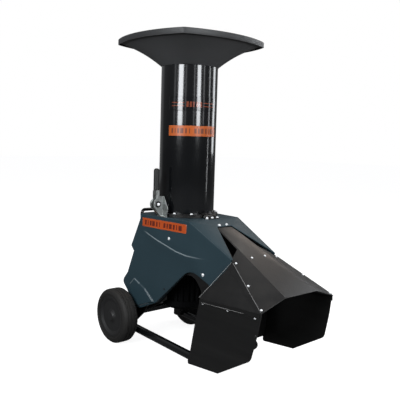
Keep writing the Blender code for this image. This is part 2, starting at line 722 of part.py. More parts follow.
def make_clamp():
    make_clamp_base()
    make_clamp_lever()
    make_clamp_bar()
    wide = CHEEK_GAP + 2 * CLAMP_PLATE + 0.0018
    for name, (y, z), half in (("clamp_bar_pin", BAR_PIVOT, CHEEK_GAP + CLAMP_PLATE),
                               ("clamp_lever_pin", LEVER_PIVOT, wide)):
        pin = rod_mesh(CLAMP_PIN_RADIUS, (CLAMP_X - half, y, z), (CLAMP_X + half, y, z))
        add(name, pin, ZINC, MACHINE)


# Discharge hood

def hood_sheet(name, corners, faces, side, inset=0.0):
    """One folded sheet of the hood, made for +Y; faces are wound to face outwards there."""
    sign = SIDES[side]
    points = [Vector(corner) for corner in corners]
    first = [points[i] for i in faces[0][:3]]
    outwards = (first[1] - first[0]).cross(first[2] - first[0]).normalized()
    moved = [point - outwards * inset for point in points]
    placed = [(p.x, sign * p.y, p.z) for p in moved]
    wound = faces if sign > 0 else [tuple(reversed(face)) for face in faces]
    return sheet(f"{name}_{side}", placed, wound, HOOD_SHEET, BLACK_SHEET, MACHINE)


def side_point(x, z):
    """A point of the hood's side, which spreads a little towards the ground."""
    return Vector((x, HOOD_SPREAD - HOOD_LEAN * z, z))


def make_hood_top():
    """The tongue under the deck's lip, the top strip, a facet each side and their laps."""
    under = DECK_SHEET * 1.06 + 2 * FIT
    ends = [Vector((0.186, 0.027, deck_slope_z(0.186) - under)),
            Vector((*HOOD_START, deck_slope_z(HOOD_START[0]) - under)),
            OUTLET_TOP, SHOULDER_FRONT, HOOD_APEX,
            HOOD_APEX.lerp(SHOULDER_REAR, 0.13), SHOULDER_FRONT.lerp(SHOULDER_REAR, 0.06)]
    corners = [(p.x, -p.y, p.z) for p in ends] + list(ends)
    faces = [(0, 1, 8, 7), (1, 2, 9, 8)]
    half = [(1, 4, 3, 2), (3, 4, 5, 6)]
    faces += half + [tuple(7 + i for i in reversed(face)) for face in half]
    sheet("hood_top", corners, faces, HOOD_SHEET, BLACK_SHEET, MACHINE)


def make_hood_facet(side):
    """The triangle below the lap, with its own lap down over the side."""
    apex = HOOD_APEX.lerp(SHOULDER_REAR, 0.07)
    front = SHOULDER_FRONT.lerp(SHOULDER_REAR, 0.008)
    drop = Vector((0, 0.0010, -0.016))
    corners = [front, SHOULDER_REAR, apex, SHOULDER_REAR + drop, front + drop]
    hood_sheet("hood_facet", corners, [(0, 1, 2), (0, 4, 3, 1)], side, HOOD_LAP)


def make_hood_side(side):
    """The flat side that stands off the wheel line and leaves the front and bottom open."""
    outline = fillet(HOOD_REAR_EDGE + [(0.241, 0.0405, 0.004), (0.3785, 0.052, 0.010), (0.5065, 0.129, 0.026),
                                       (0.5165, 0.170), (0.5265, 0.2155), (0.5345, 0.2685)], 4)
    points = [side_point(x, z) - Vector((0, 2 * HOOD_LAP, 0)) for x, z in outline]
    face = tuple(reversed(range(len(points))))
    hood_sheet("hood_side", points, [face], side)


def make_hood_back(side):
    """The wall from the chassis cheek out to the hood's side, along the side's rear edge."""
    inset = 0.004
    inner = CHEEK_HALF + FIT
    corners = []
    for x, z in ((0.2403, 0.060), (0.247, 0.087), (0.2583, 0.170), (0.2710, 0.240)):
        outer = side_point(x, z).y - 2 * HOOD_LAP - HOOD_SHEET - FIT
        corners += [(x + inset, inner, z), (x + inset, outer, z)]
    faces = [(i, i + 1, i + 3, i + 2) for i in (0, 2, 4)]
    hood_sheet("hood_back", corners, faces, side)


# Frame, feet and wheels

def frame_path():
    """The U tube's centre line, which falls a little towards the front."""
    fall = (FRAME_REAR_Z - FRAME_FRONT_Z) / (FRAME_FRONT_X - FRAME_REAR_X)
    plan = [(FRAME_REAR_X, -FRAME_HALF), (FRAME_FRONT_X, -FRAME_HALF), (FRAME_FRONT_X, FRAME_HALF),
            (FRAME_REAR_X, FRAME_HALF)]
    return bent_line([(x, y, FRAME_REAR_Z - fall * (x - FRAME_REAR_X)) for x, y in plan], FRAME_BEND)


def make_frame_tube():
    add("base_frame", pipe_mesh(frame_path(), FRAME_TUBE_RADIUS), BLACK_GLOSS, MACHINE)
    for side, sign in SIDES.items():
        groove = pipe_mesh(frame_path(), FRAME_TUBE_RADIUS + FIT)
        foot = turned_mesh([(0, 0.038), (0.017, 0.038), (0.019, 0.036), (FOOT_RADIUS, 0.004),
                            (0.018, 0), (0, 0)], 28)
        foot.transform(Matrix.Translation((FRAME_FRONT_X, sign * FOOT_HALF, 0)))
        combine(f"foot_{side}", [foot], RUBBER, MACHINE, [groove])


def make_axle():
    half = WHEEL_OUTER_Y - WHEEL_WIDTH - 0.003
    beam = turned_mesh([(BEAM_RADIUS, half), (BEAM_RADIUS, -half), (AXLE_RADIUS + FIT, -half),
                        (AXLE_RADIUS + FIT, half)], 28, "Y")
    beam.transform(Matrix.Translation((WHEEL_X, 0, WHEEL_Z)))
    add("axle_beam", beam, BLACK_GLOSS, MACHINE)
    end = WHEEL_OUTER_Y - 0.010
    add("axle_rod", rod_mesh(AXLE_RADIUS, (WHEEL_X, -end, WHEEL_Z), (WHEEL_X, end, WHEEL_Z)), ZINC, MACHINE)
    hole = circle(WHEEL_X, WHEEL_Z, BEAM_RADIUS + FIT, 28)
    for side in SIDES:
        block = [box_outline(WHEEL_X - 0.020, 0.047, WHEEL_X + 0.020, 0.126, 0.004), hole]
        mesh = prism_mesh(block, CHEEK_HALF + FIT, FRAME_HALF - FRAME_TUBE_RADIUS - FIT, "Y")
        on_side("frame_bracket", mesh, BLACK_SHEET, side)


def tyre_profile():
    """Half the tyre's section as (radius, distance from the wheel's middle), with two grooves."""
    half = WHEEL_WIDTH / 2
    r = WHEEL_RADIUS
    shoulder = [(RIM_RADIUS, half - 0.002), (r - 0.014, half), (r - 0.006, half - 0.004), (r - 0.001, half - 0.011)]
    groove = [(r, half - 0.018), (r, 0.0065), (r - 0.0025, 0.0055), (r - 0.0025, 0.0035), (r, 0.0025)]
    upper = shoulder + groove
    return upper + [(radius, -place) for radius, place in reversed(upper)]


def rim_profile():
    """The rim's section: a dished face outside, a hub bored from the inside."""
    r = RIM_RADIUS - FIT
    half = WHEEL_WIDTH / 2
    bore = AXLE_RADIUS + RUN
    face = [(0, half - 0.001), (0.016, half - 0.001), (0.019, half - 0.004), (0.024, half - 0.009),
            (0.058, half - 0.009), (0.066, half - 0.004), (r, half - 0.003)]
    back = [(r, 0.004 - half), (r - 0.004, 0.004 - half), (r - 0.005, half - 0.012), (0.022, half - 0.013),
            (0.020, -half), (bore, -half), (bore, half - 0.0085), (0, half - 0.0085)]
    return face + back


def make_wheels():
    for side, sign in SIDES.items():
        middle = Matrix.Translation((WHEEL_X, WHEEL_OUTER_Y - WHEEL_WIDTH / 2, WHEEL_Z))
        tyre = turned_mesh(tyre_profile(), 36, "Y")
        rim = turned_mesh(rim_profile(), 28, "Y")
        for name, mesh, finish in (("tyre", tyre, RUBBER), ("wheel_rim", rim, BLACK_PLASTIC)):
            mesh.transform(middle)
            on_side(name, mesh, finish, side, WHEELS[side])


# Chassis

def cheek_outline():
    """The chassis cheek in (x, z): hung below the deck, down to the axle and the front bend."""
    top = DECK_TOP - DECK_SHEET - FIT
    foot = FRAME_FRONT_Z + FRAME_TUBE_RADIUS + 0.0012
    rear = DECK_REAR_X + 0.011
    return fillet([(rear, top), (rear, 0.200), (-0.1135, 0.165), (-0.1135, 0.1335),
                   (-0.192, 0.1275, 0.02), (-0.192, 0.0745, 0.02), (-0.142, 0.0745), (-0.100, 0.112),
                   (-0.075, 0.150), (-0.004, 0.182, 0.01), (0.163, 0.333, 0.06), (0.229, 0.235),
                   (0.225, foot), (0.249, foot), (0.249, 0.090), (0.2625, 0.170), (0.273, 0.232),
                   (0.249, 0.300), (0.249, 0.4305), (DECK_FRONT_X - 0.002, top)], 4)


def make_chassis():
    hole = circle(WHEEL_X, WHEEL_Z, BEAM_RADIUS + FIT, 28)
    for side in SIDES:
        cheek = prism_mesh([cheek_outline(), hole], CHEEK_HALF - CHEEK_SHEET, CHEEK_HALF, "Y")
        on_side("chassis_cheek", cheek, BLACK_SHEET, side)
        x, z = 0.061, 0.4146
        stay = rod_mesh(0.007, (x, CHEEK_HALF + FIT, z), (x, body_half(x) - BODY_SHEET - 0.0012, z), 16)
        on_side("cover_stay", stay, ZINC, side)
    half = CHEEK_HALF - CHEEK_SHEET - FIT
    plate = [box_outline(DECK_REAR_X + 0.012, -half, CHAMBER_RADIUS - 0.001, half), circle(0, 0, 0.020)]
    low = MOTOR_PLATE_Z - MOTOR_PLATE_THICK
    add("motor_plate", prism_mesh(plate, low, MOTOR_PLATE_Z), BLACK_SHEET, MACHINE)
    near, top = CHAMBER_RADIUS + 0.0008, MOTOR_PLATE_Z + 0.005
    corners = [(near, -half, top), (0.246, -half, 0.300), (0.246, half, 0.300), (near, half, top)]
    sheet("chute_floor", corners, [(0, 1, 2, 3)], 0.002, BLACK_SHEET, MACHINE)


# Cutting chamber and motor

def make_chamber():
    inner = CHAMBER_RADIUS - CHAMBER_WALL
    drum = ring_mesh(inner, CHAMBER_RADIUS, MOTOR_PLATE_Z + FIT, DECK_TOP - DECK_SHEET - FIT)
    outlet = box_mesh((0.05, -0.060, MOTOR_PLATE_Z + 0.007), (CHAMBER_RADIUS + 0.019, 0.060, DECK_TOP - 0.014))
    combine("chamber_drum", [drum], BLACK_SHEET, MACHINE, [outlet])
    seat = CHAMBER_WALL - CHAMBER_RADIUS + 0.001
    knife = prism_mesh([[(seat, -0.012), (-0.045, -0.006), (-0.045, 0.006), (seat, 0.012)]],
                       DISC_TOP + 0.0085, DISC_TOP + 0.0165)
    add("counter_knife", knife, STEEL, MACHINE)


def make_rotor():
    """The disc with two blades on top and two throwing fins below, on the motor's shaft."""
    low = DISC_TOP - DISC_THICK
    disc = rod_mesh(DISC_RADIUS, (0, 0, low), (0, 0, DISC_TOP), 48)
    hub = rod_mesh(0.022, (0, 0, low - 0.020), (0, 0, low + 0.001), 24)
    tip = DISC_RADIUS - 0.006
    fins = [box_mesh((start, -0.004, low - 0.024), (start + tip - 0.020, 0.004, low + 0.001)) for start in (0.020, -tip)]
    bore = rod_mesh(SHAFT_RADIUS + FIT, (0, 0, low - 0.03), (0, 0, DISC_TOP + 0.01), 24)
    combine("rotor_disc", [disc, hub] + fins, STEEL, ROTOR, [bore])
    shaft_top = DISC_TOP - 0.001
    shaft = rod_mesh(SHAFT_RADIUS, (0, 0, MOTOR_LOW_Z + 0.02), (0, 0, shaft_top))
    add("motor_shaft", shaft, STEEL, ROTOR)
    top = DISC_TOP + FIT
    bolt = turned_mesh([(0, top + 0.012), (0.007, top + 0.011), (0.009, top + 0.004), (0.018, top + 0.003),
                        (0.018, top), (0, top)], 24)
    add("disc_bolt", bolt, ZINC, ROTOR)
    for k, angle in enumerate((radians(70), radians(250))):
        turn = Matrix.Rotation(angle, 4, "Z")
        blade = prism_mesh([[(0.028, -0.014), (tip, -0.016), (tip, 0.012), (0.028, 0.012)]], top, top + 0.006)
        blade.transform(turn)
        add(f"blade_{k + 1}", blade, STEEL, ROTOR)


def make_motor():
    bore = circle(0, 0, SHAFT_RADIUS + RUN)
    ribs = []
    for k in range(FIN_COUNT):
        for offset, radius in ((-0.30, 0), (-0.16, FIN_HEIGHT), (0.16, FIN_HEIGHT), (0.30, 0)):
            angle = 2 * pi * (k + offset) / FIN_COUNT
            reach = MOTOR_RADIUS + radius
            ribs.append((reach * cos(angle), reach * sin(angle)))
    body = prism_mesh([ribs, bore], MOTOR_LOW_Z, MOTOR_HIGH_Z)
    add("motor_body", body, MOTOR_PAINT, MACHINE)
    reach = MOTOR_RADIUS + FIN_HEIGHT
    high = MOTOR_PLATE_Z - MOTOR_PLATE_THICK - FIT
    shield = ring_mesh(SHAFT_RADIUS + RUN, reach, MOTOR_HIGH_Z + FIT, high, 40)
    add("motor_end_shield", shield, MOTOR_PAINT, MACHINE)
    low = FAN_COVER_LOW_Z
    top = MOTOR_LOW_Z - FIT
    cover = turned_mesh([(reach, top), (reach, low + 0.010), (reach - 0.010, low), (0.020, low),
                         (0.020, low + 0.002), (reach - 0.011, low + 0.002), (reach - 0.002, low + 0.011),
                         (reach - 0.002, top)], 40)
    add("motor_fan_cover", cover, BLACK_PLASTIC, MACHINE)
    case = box_mesh((-reach - 0.004 - 0.018, -0.028, 0.225), (-reach - FIT, 0.028, 0.290))
    add("terminal_box", case, BLACK_PLASTIC, MACHINE)


# Rear handle and switch box

def make_handle():
    """A bent rod that stands off the rear wall at right angles and rises to a bar across."""
    x, z = WALL_POINT
    reach = (x - HANDLE_X) / -WALL_NORMAL[0]
    knee = z + reach * WALL_NORMAL[1]
    wall_x = x + WALL_NORMAL[0] * 2 * FIT
    wall_z = z + WALL_NORMAL[1] * 2 * FIT
    side = [(wall_x, wall_z), (HANDLE_X, knee), (HANDLE_X, HANDLE_TOP_Z)]
    run = [(px, -HANDLE_HALF, pz) for px, pz in side] + [(px, HANDLE_HALF, pz) for px, pz in reversed(side)]
    add("rear_handle", pipe_mesh(bent_line(run, 0.012, 5), HANDLE_RADIUS, 2), BLACK_GLOSS, MACHINE)


def make_switch():
    """The switch box on the sloping rear wall; its own +Z points straight out of the wall."""
    place = (WALL_POINT[0], 0, WALL_POINT[1])
    turn = (0, -acos(WALL_NORMAL[1]), 0)
    case = prism_mesh([box_outline(-0.034, -0.042, 0.034, 0.042, 0.006)], 2 * FIT, SWITCH_DEPTH)
    pockets = []
    floor = SWITCH_DEPTH - 0.013
    for name, y, finish in (("start_button", BUTTON_SPREAD, GREEN), ("stop_button", -BUTTON_SPREAD, RED)):
        pockets.append(rod_mesh(BUTTON_RADIUS + RUN, (0, y, floor), (0, y, SWITCH_DEPTH + 0.01), 24))
        low = floor + BUTTON_TRAVEL + RUN
        out = Vector((WALL_NORMAL[0], 0, WALL_NORMAL[1]))
        frame = make_frame(name + "_axis", Vector((place[0], y, place[2])) + out * low, MACHINE)
        cap = rod_mesh(BUTTON_RADIUS, (0, 0, 0), (0, 0, SWITCH_DEPTH + 0.006 - low), 24)
        add(name, cap, finish, frame, frame.location, turn)
    combine("switch_box", [case], BLACK_PLASTIC, MACHINE, pockets, place, turn)
    shell = rod_mesh(0.015, (-0.034 - FIT, 0, 0.018), (-0.058, 0, 0.018), 24)
    socket = rod_mesh(0.012, (-0.040, 0, 0.018), (-0.070, 0, 0.018), 24)
    combine("power_inlet", [shell], BLACK_PLASTIC, MACHINE, [socket], place, turn)


def make_machine():
    make_body()
    make_feed_tube()
    make_hinge()
    make_clamp()
    make_hood_top()
    for side in SIDES:
        make_hood_facet(side)
        make_hood_side(side)
        make_hood_back(side)
    make_frame_tube()
    make_axle()
    make_wheels()
    make_chassis()
    make_chamber()
    make_rotor()
    make_motor()
    make_handle()
    make_switch()


make_machine()
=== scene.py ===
# %% [markdown]
# # A garden shredder, dressed for its picture
# The solids of this electric garden shredder come ready made: a U-shaped tube frame on wheels, an angular
# painted body, a tall black feed tube under a funnel, and a folded discharge hood. This lesson gives every
# surface its finish. Round things get smooth surfaces, folded sheets get soft edges, and the small rivets,
# screws and labels are added. All lengths are in metres, +X is the front and +Z is up.

# %% Load the solids
import json

import bmesh
import bpy
import numpy as np
from mathutils import Matrix, Vector
from mathutils.bvhtree import BVHTree
from mathutils.geometry import delaunay_2d_cdt


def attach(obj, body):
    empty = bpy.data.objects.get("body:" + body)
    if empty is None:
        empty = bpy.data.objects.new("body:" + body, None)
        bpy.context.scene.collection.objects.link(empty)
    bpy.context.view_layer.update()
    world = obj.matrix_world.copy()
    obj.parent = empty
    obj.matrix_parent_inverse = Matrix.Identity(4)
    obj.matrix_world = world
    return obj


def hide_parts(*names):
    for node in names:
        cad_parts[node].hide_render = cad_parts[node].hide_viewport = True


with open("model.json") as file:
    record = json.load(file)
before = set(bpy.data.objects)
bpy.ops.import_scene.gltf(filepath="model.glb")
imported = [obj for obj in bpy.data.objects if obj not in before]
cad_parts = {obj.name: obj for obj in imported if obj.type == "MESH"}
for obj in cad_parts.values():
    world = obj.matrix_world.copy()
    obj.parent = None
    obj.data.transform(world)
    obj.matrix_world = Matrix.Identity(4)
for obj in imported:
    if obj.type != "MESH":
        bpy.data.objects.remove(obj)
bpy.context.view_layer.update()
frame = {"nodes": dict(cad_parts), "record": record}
nodes = frame["nodes"]
SIDES = (("left", 1), ("right", -1))

# %% [markdown]
# ## The camera
# A camera is a place, a direction and a lens. The machine was seen from its front right, from about the
# height of the tube's middle, looking down a little, with the camera held slightly askew. A long lens keeps
# the tube's sides nearly parallel. The three columns of the rotation matrix are where the camera's right, up
# and back point.

# %% Place the camera
AXIS_X = -0.1384
AZIMUTH, PITCH, ROLL = np.radians((48.44, 5.77, 1.69))
CAMERA_SPOT = (1.5970 + AXIS_X, -1.3495, 0.7488)
SENSOR, FOCAL_PIXELS, PICTURE_PIXELS = 36.0, 579.0, 400


def camera_turn(azimuth, pitch, roll):
    """Rotation whose third column points from the scene back to the camera, then rolled about it."""
    level = np.cos(pitch)
    back = Vector((np.sin(azimuth) * level, -np.cos(azimuth) * level, np.sin(pitch)))
    right = (-back).cross(Vector((0, 0, 1))).normalized()
    up = right.cross(-back)
    rolled = right * np.cos(roll) + up * np.sin(roll)
    risen = up * np.cos(roll) - right * np.sin(roll)
    return Matrix((rolled, risen, back)).transposed()


lens = bpy.data.cameras.new("camera")
lens.sensor_width, lens.lens = SENSOR, FOCAL_PIXELS / PICTURE_PIXELS * SENSOR
camera = bpy.data.objects.new("camera", lens)
camera.matrix_world = Matrix.Translation(CAMERA_SPOT) @ camera_turn(AZIMUTH, PITCH, ROLL).to_4x4()
bpy.context.scene.collection.objects.link(camera)
bpy.context.scene.camera = camera
bpy.context.scene.view_settings.view_transform = "Standard"
print("lens:", round(lens.lens, 2), "mm")

# %% [markdown]
# ## Light that suits black gloss
# Black paint has almost no colour of its own, so what shows on it is what it mirrors. Tall windows give the
# tube its upright streaks, and because their sills are about a metre up, the streaks stop part way down. A low
# slit gives the thin line at the tube's right, and a broad warm light from behind and above lies on the deck
# and along the hood's top, with a small one over the deck's front. The world is a dim grey that brightens
# upwards. The camera sees it and the floor white, through Light Path, and the lamps' own light keeps the
# machine's soft shadow on the floor.

# %% World, windows and floor
DAYLIGHT, EVENING, LAMPLIGHT = (0.94, 0.97, 1.0), (1.0, 0.85, 0.74), (1.0, 0.98, 0.93)
WINDOW_DISTANCE, FILL_DISTANCE = 3.0, 3.6
WINDOWS = [  # name, bearing from the camera's side in degrees, width, foot, head, power
    ("window_left", -33, 1.00, 0.95, 2.6, 80), ("window_middle", 41, 0.75, 0.95, 2.6, 54),
    ("window_narrow", 92, 0.20, 0.95, 2.6, 6), ("window_right", 122, 0.8, 0.6, 2.6, 24),
    ("low_slit", 90, 0.10, 0.02, 0.95, 2.2), ("rear_glow", -140, 1.9, 0.3, 2.2, 1.5),
    ("front_fill", 0, 2.4, 0.6, 2.2, 9), ("faint_0", -58, 0.35, 1.0, 2.6, 1.6),
    ("faint_1", -12, 0.22, 1.0, 2.6, 1.4), ("faint_2", 22, 0.18, 1.0, 2.6, 2.0),
    ("faint_3", 63, 0.22, 1.0, 2.6, 2.6)]


def feed(tree, value, socket):
    """Join an output to a socket, or set the socket to a plain value."""
    if isinstance(value, bpy.types.NodeSocket):
        tree.links.new(value, socket)
    else:
        socket.default_value = value


def new_node(tree, kind, **values):
    """A shader node; names that start with in_ are its input sockets, by name or number."""
    made = tree.nodes.new("ShaderNode" + kind)
    for key, value in values.items():
        if key.startswith("in_"):
            name = key[3:].replace("_", " ")
            feed(tree, value, made.inputs[int(name) if name.isdigit() else name])
        else:
            setattr(made, key, value)
    return made


def flow(tree, kind, output=0, **values):
    """One output of a new node, ready to be the value of another node's input."""
    return new_node(tree, kind, **values).outputs[output]


def seen_share(tree, camera, mirrored, through):
    """How much of the white backdrop a ray sees: camera * a + glossy * b + transmission * c."""
    rays, total = new_node(tree, "LightPath").outputs, 0.0
    for ray, share in (("Camera", camera), ("Glossy", mirrored), ("Transmission", through)):
        seen = rays[f"Is {ray} Ray"]
        total = flow(tree, "Math", operation="MULTIPLY_ADD", in_0=seen, in_1=share, in_2=total)
    return total


def make_world():
    world = bpy.data.worlds.new("studio")
    world.use_nodes = True
    bpy.context.scene.world = world
    tree = world.node_tree
    tree.nodes.clear()
    up = flow(tree, "SeparateXYZ", "Z", in_0=flow(tree, "TexCoord", "Generated"))
    ramp = new_node(tree, "ValToRGB", in_0=up)
    greys = ramp.color_ramp.elements
    greys[0].color, greys[1].color = (0.05, 0.05, 0.05, 1), (0.60, 0.61, 0.64, 1)
    greys.new(0.25).color = (0.14, 0.14, 0.145, 1)
    soft = flow(tree, "Background", in_Color=ramp.outputs[0], in_Strength=0.55)
    white = flow(tree, "Background", in_Color=(1, 1, 1, 1), in_Strength=1.0)
    share = seen_share(tree, 1.0, 0.06, 1.0)
    new_node(tree, "OutputWorld", in_0=flow(tree, "MixShader", in_0=share, in_1=soft, in_2=white))


def lamp(name, spot, aim, width, height, power, colour):
    """A rectangular lamp at a spot, facing the point that it is aimed at."""
    glass = bpy.data.lights.new(name, "AREA")
    glass.shape, glass.size, glass.size_y = "RECTANGLE", width, height
    glass.energy, glass.color = power, colour
    made = bpy.data.objects.new(name, glass)
    made.location = spot
    made.rotation_euler = (Vector(aim) - Vector(spot)).to_track_quat("-Z", "Y").to_euler()
    bpy.context.scene.collection.objects.link(made)
    return made


def window(name, bearing, width, low, high, power):
    """A tall lamp that faces the tube; the fill stands farther off and isn't seen in the gloss."""
    angle, level = AZIMUTH + np.radians(bearing), (low + high) / 2
    distance = FILL_DISTANCE if name == "front_fill" else WINDOW_DISTANCE
    spot = (AXIS_X + distance * np.sin(angle), -distance * np.cos(angle), level)
    made = lamp(name, spot, (AXIS_X, 0, level), width, high - low, power, DAYLIGHT)
    made.visible_glossy = name != "front_fill"


def make_floor():
    bpy.ops.mesh.primitive_plane_add(size=40, location=(0, 0, -0.0006))
    floor = bpy.context.object
    floor.name = "floor"
    paint = bpy.data.materials.new("floor_white")
    paint.use_nodes = True
    tree = paint.node_tree
    tree.nodes.clear()
    pale = flow(tree, "MapRange", in_Value=flow(tree, "LightPath", "Is Camera Ray"), in_To_Min=0.10,
                in_To_Max=0.50)
    matte = flow(tree, "BsdfDiffuse", in_Color=pale)
    glow = flow(tree, "Emission", in_Color=(1, 1, 1, 1), in_Strength=seen_share(tree, 0.88, 0.04, 0.88))
    new_node(tree, "OutputMaterial", in_0=flow(tree, "AddShader", in_0=matte, in_1=glow))
    floor.data.materials.append(paint)


make_world()
make_floor()
for row in WINDOWS:
    window(*row)
lamp("warm_top", (AXIS_X - 0.62, 2.15, 1.95), (AXIS_X + 0.45, 0.0, 0.34), 0.9, 0.8, 5.5, EVENING)
lamp("deck_glow", (AXIS_X - 0.0535, 0.770, 1.596), (AXIS_X + 0.29, -0.093, 0.418), 0.25, 0.25, 0.8,
     LAMPLIGHT)
print("lamps:", len(WINDOWS) + 2)

# %% [markdown]
# ## Surfaces from numpy
# A smooth surface is a grid of points: one array of places, and faces that join neighbours. Two kinds of grid
# make most of this machine. A turned grid carries a profile round an upright or level axis, and a swept grid
# carries a circle along a path. Both are worked out as whole arrays, and foreach_set writes them to the mesh.

# %% Grid helpers
CORNER_PULL = 0.93
TIP_SHARE = 0.9


def units(vectors):
    """Directions divided by their own lengths."""
    return vectors / np.linalg.norm(vectors, axis=-1, keepdims=True)


def with_ends(rows):
    """The rows with the first and the last doubled, for a cap at each end."""
    return np.concatenate([rows[:1], rows, rows[-1:]])


def rings(across, rise, sides):
    """A circle of radius 1 for each pair of directions: across cos a + rise sin a."""
    angle = np.linspace(0, 2 * np.pi, sides, endpoint=False)[None, :, None]
    return across[:, None] * np.cos(angle) + rise[:, None] * np.sin(angle)


def grid_faces(rows, columns, wrap_rows, wrap_columns):
    """Corner numbers of the quads of a grid, four to a face; a wrapped direction closes on itself."""
    r = np.arange(rows if wrap_rows else rows - 1)[:, None]
    c = np.arange(columns if wrap_columns else columns - 1)[None, :]
    below, beside = (r + 1) % rows, (c + 1) % columns
    corners = (r * columns + c, below * columns + c, below * columns + beside, r * columns + beside)
    return np.stack(np.broadcast_arrays(*corners), axis=-1).reshape(-1, 4)


def mesh_from_arrays(name, points, quads):
    """A mesh whose places and faces are written in one go."""
    mesh = bpy.data.meshes.new(name)
    points = np.ascontiguousarray(points.reshape(-1, 3), np.float32)
    mesh.vertices.add(len(points))
    mesh.vertices.foreach_set("co", points.ravel())
    mesh.loops.add(quads.size)
    mesh.loops.foreach_set("vertex_index", quads.ravel().astype(np.int32))
    mesh.polygons.add(len(quads))
    starts = np.arange(0, quads.size, quads.shape[1], dtype=np.int32)
    mesh.polygons.foreach_set("loop_start", starts)
    mesh.update(calc_edges=True)
    return mesh


def finish_mesh(mesh, sharp=35, merge=1e-6, flat=None):
    """Merge doubled points, join what is flat if asked, face outwards, and smooth all but sharp edges."""
    form = bmesh.new()
    form.from_mesh(mesh)
    bmesh.ops.remove_doubles(form, verts=form.verts, dist=merge)
    if flat:
        limit = np.radians(flat)
        bmesh.ops.dissolve_limit(form, angle_limit=limit, verts=form.verts, edges=form.edges)
    else:
        bmesh.ops.dissolve_degenerate(form, edges=form.edges, dist=1e-7)
    bmesh.ops.recalc_face_normals(form, faces=form.faces)
    form.to_mesh(mesh)
    form.free()
    mesh.shade_smooth()
    mesh.set_sharp_from_angle(angle=np.radians(sharp))
    return mesh


def shifted(mesh):
    """Move a mesh from the tube's axis, where the sizes are taken from, to its place in the scene."""
    mesh.transform(Matrix.Translation((AXIS_X, 0, 0)))
    return mesh


def mark_painted_light(mesh, amount):
    """Keep each point's share of painted light, from 0 to 1, for the material to read."""
    layer = mesh.attributes.new("painted_light_share", "FLOAT", "POINT")
    layer.data.foreach_set("value", np.asarray(amount, np.float32))


def piece(name, mesh, material, body, stands_for=()):
    """Link a finished mesh as a piece that rides on a body and may stand for solids."""
    made = bpy.data.objects.new(name, mesh)
    bpy.context.scene.collection.objects.link(made)
    made.data.materials.clear()
    made.data.materials.append(material)
    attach(made, body)
    if stands_for:
        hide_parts(*stands_for)
    return made


def turned(name, profile, steps=128, centre=(0, 0, 0), level=False, closed=True):
    """Every profile point (radius, along) goes round the axis: x = r cos a, y = r sin a, or z and x."""
    profile = np.asarray(profile, float)
    angle = np.linspace(0, 2 * np.pi, steps, endpoint=False)
    radius, along = profile[:, :1], np.repeat(profile[:, 1:], steps, axis=1)
    first, second = radius * np.cos(angle), radius * np.sin(angle)
    points = np.stack((second, along, first) if level else (first, second, along), axis=-1)
    quads = grid_faces(len(profile), steps, closed, True)
    return shifted(finish_mesh(mesh_from_arrays(name, points + np.asarray(centre), quads)))


def rounded_profile(corners, steps):
    """A closed (radius, along, fillet) outline whose corners become arcs of the given fillet.

    An arc is ((1-t)^2 start + 2 w t (1-t) corner + t^2 end) / ((1-t)^2 + 2 w t (1-t) + t^2).
    """
    corners = np.asarray(corners, float)
    here, size = corners[:, :2], corners[:, 2]
    back, ahead = units(np.roll(here, 1, 0) - here), units(np.roll(here, -1, 0) - here)
    half = np.arccos(np.clip((back * ahead).sum(1), -0.9999, 0.9999)) / 2
    reach = (size / np.tan(half))[:, None]
    share = np.linspace(0, 1, steps)[None, :, None]
    start, end = (here + back * reach)[:, None, :], (here + ahead * reach)[:, None, :]
    pull = 2 * share * (1 - share) * CORNER_PULL
    arc = start * (1 - share) ** 2 + here[:, None, :] * pull + end * share ** 2
    return (arc / ((1 - share) ** 2 + pull + share ** 2)).reshape(-1, 2)


def swept(name, path, radius, sides, flat=(0, 0, 1), tip=TIP_SHARE, sharp=35):
    """A circle carried along a path that bends in one plane; flat is that plane's normal."""
    run = units(np.gradient(path, axis=0))
    across = units(np.cross(run, np.asarray(flat, float)))
    ring = rings(across, np.cross(across, run), sides)
    reach = np.full(len(path) + 2, float(radius))
    reach[[1, -2]] = radius * tip
    reach[[0, -1]] = 0
    points = with_ends(path)[:, None] + with_ends(ring) * reach[:, None, None]
    quads = grid_faces(len(points), sides, False, True)
    return shifted(finish_mesh(mesh_from_arrays(name, points, quads), sharp))


def corner_arc(before, here, after, bend, steps):
    """The arc that touches both arms of a corner: centre = corner + middle * bend / sin(half angle)."""
    back, ahead = units(before - here), units(after - here)
    half = np.arccos(np.clip(back @ ahead, -1, 1)) / 2
    middle, side = units(back + ahead), units(back - ahead)
    turn = (np.linspace(-1, 1, steps) * (np.pi / 2 - half))[:, None]
    return here + middle * bend / np.sin(half) - bend * (np.cos(turn) * middle + np.sin(turn) * side)


def bent_path(corners, bend, steps):
    """Straight runs whose inner corners are rounded with the tangent arc of the given radius."""
    corners = [np.asarray(c, float) for c in corners]
    arcs = [corner_arc(*three, bend, steps) for three in zip(corners, corners[1:], corners[2:])]
    return np.concatenate([corners[0][None], *arcs, corners[-1][None]])


print("helpers ready")

# %% [markdown]
# ## Finishes as node groups
# The same few effects come back on many finishes, so each is a small group with named inputs and outputs.
# Powder coat has an orange-peel skin that shows in a reflection's edge. Handled and outdoor surfaces gather
# dust on what faces up. Bent sheet loses its coat first along the edges. Drawn or ground metal has a grain
# in one direction. The groups give out masks, values and normals, and the shader itself stays outside.

# %% Node groups
PLACE = ("Place", "Vector", None)


def new_group(name, inputs, outputs):
    """A shader group and its given values: inputs are (name, kind, default), outputs are (name, kind)."""
    group = bpy.data.node_groups.new(name, "ShaderNodeTree")
    for label, kind, default in inputs:
        socket = group.interface.new_socket(label, in_out="INPUT", socket_type="NodeSocket" + kind)
        if default is not None:
            socket.default_value = default
    for label, kind in outputs:
        group.interface.new_socket(label, in_out="OUTPUT", socket_type="NodeSocket" + kind)
    return group, group.nodes.new("NodeGroupInput").outputs


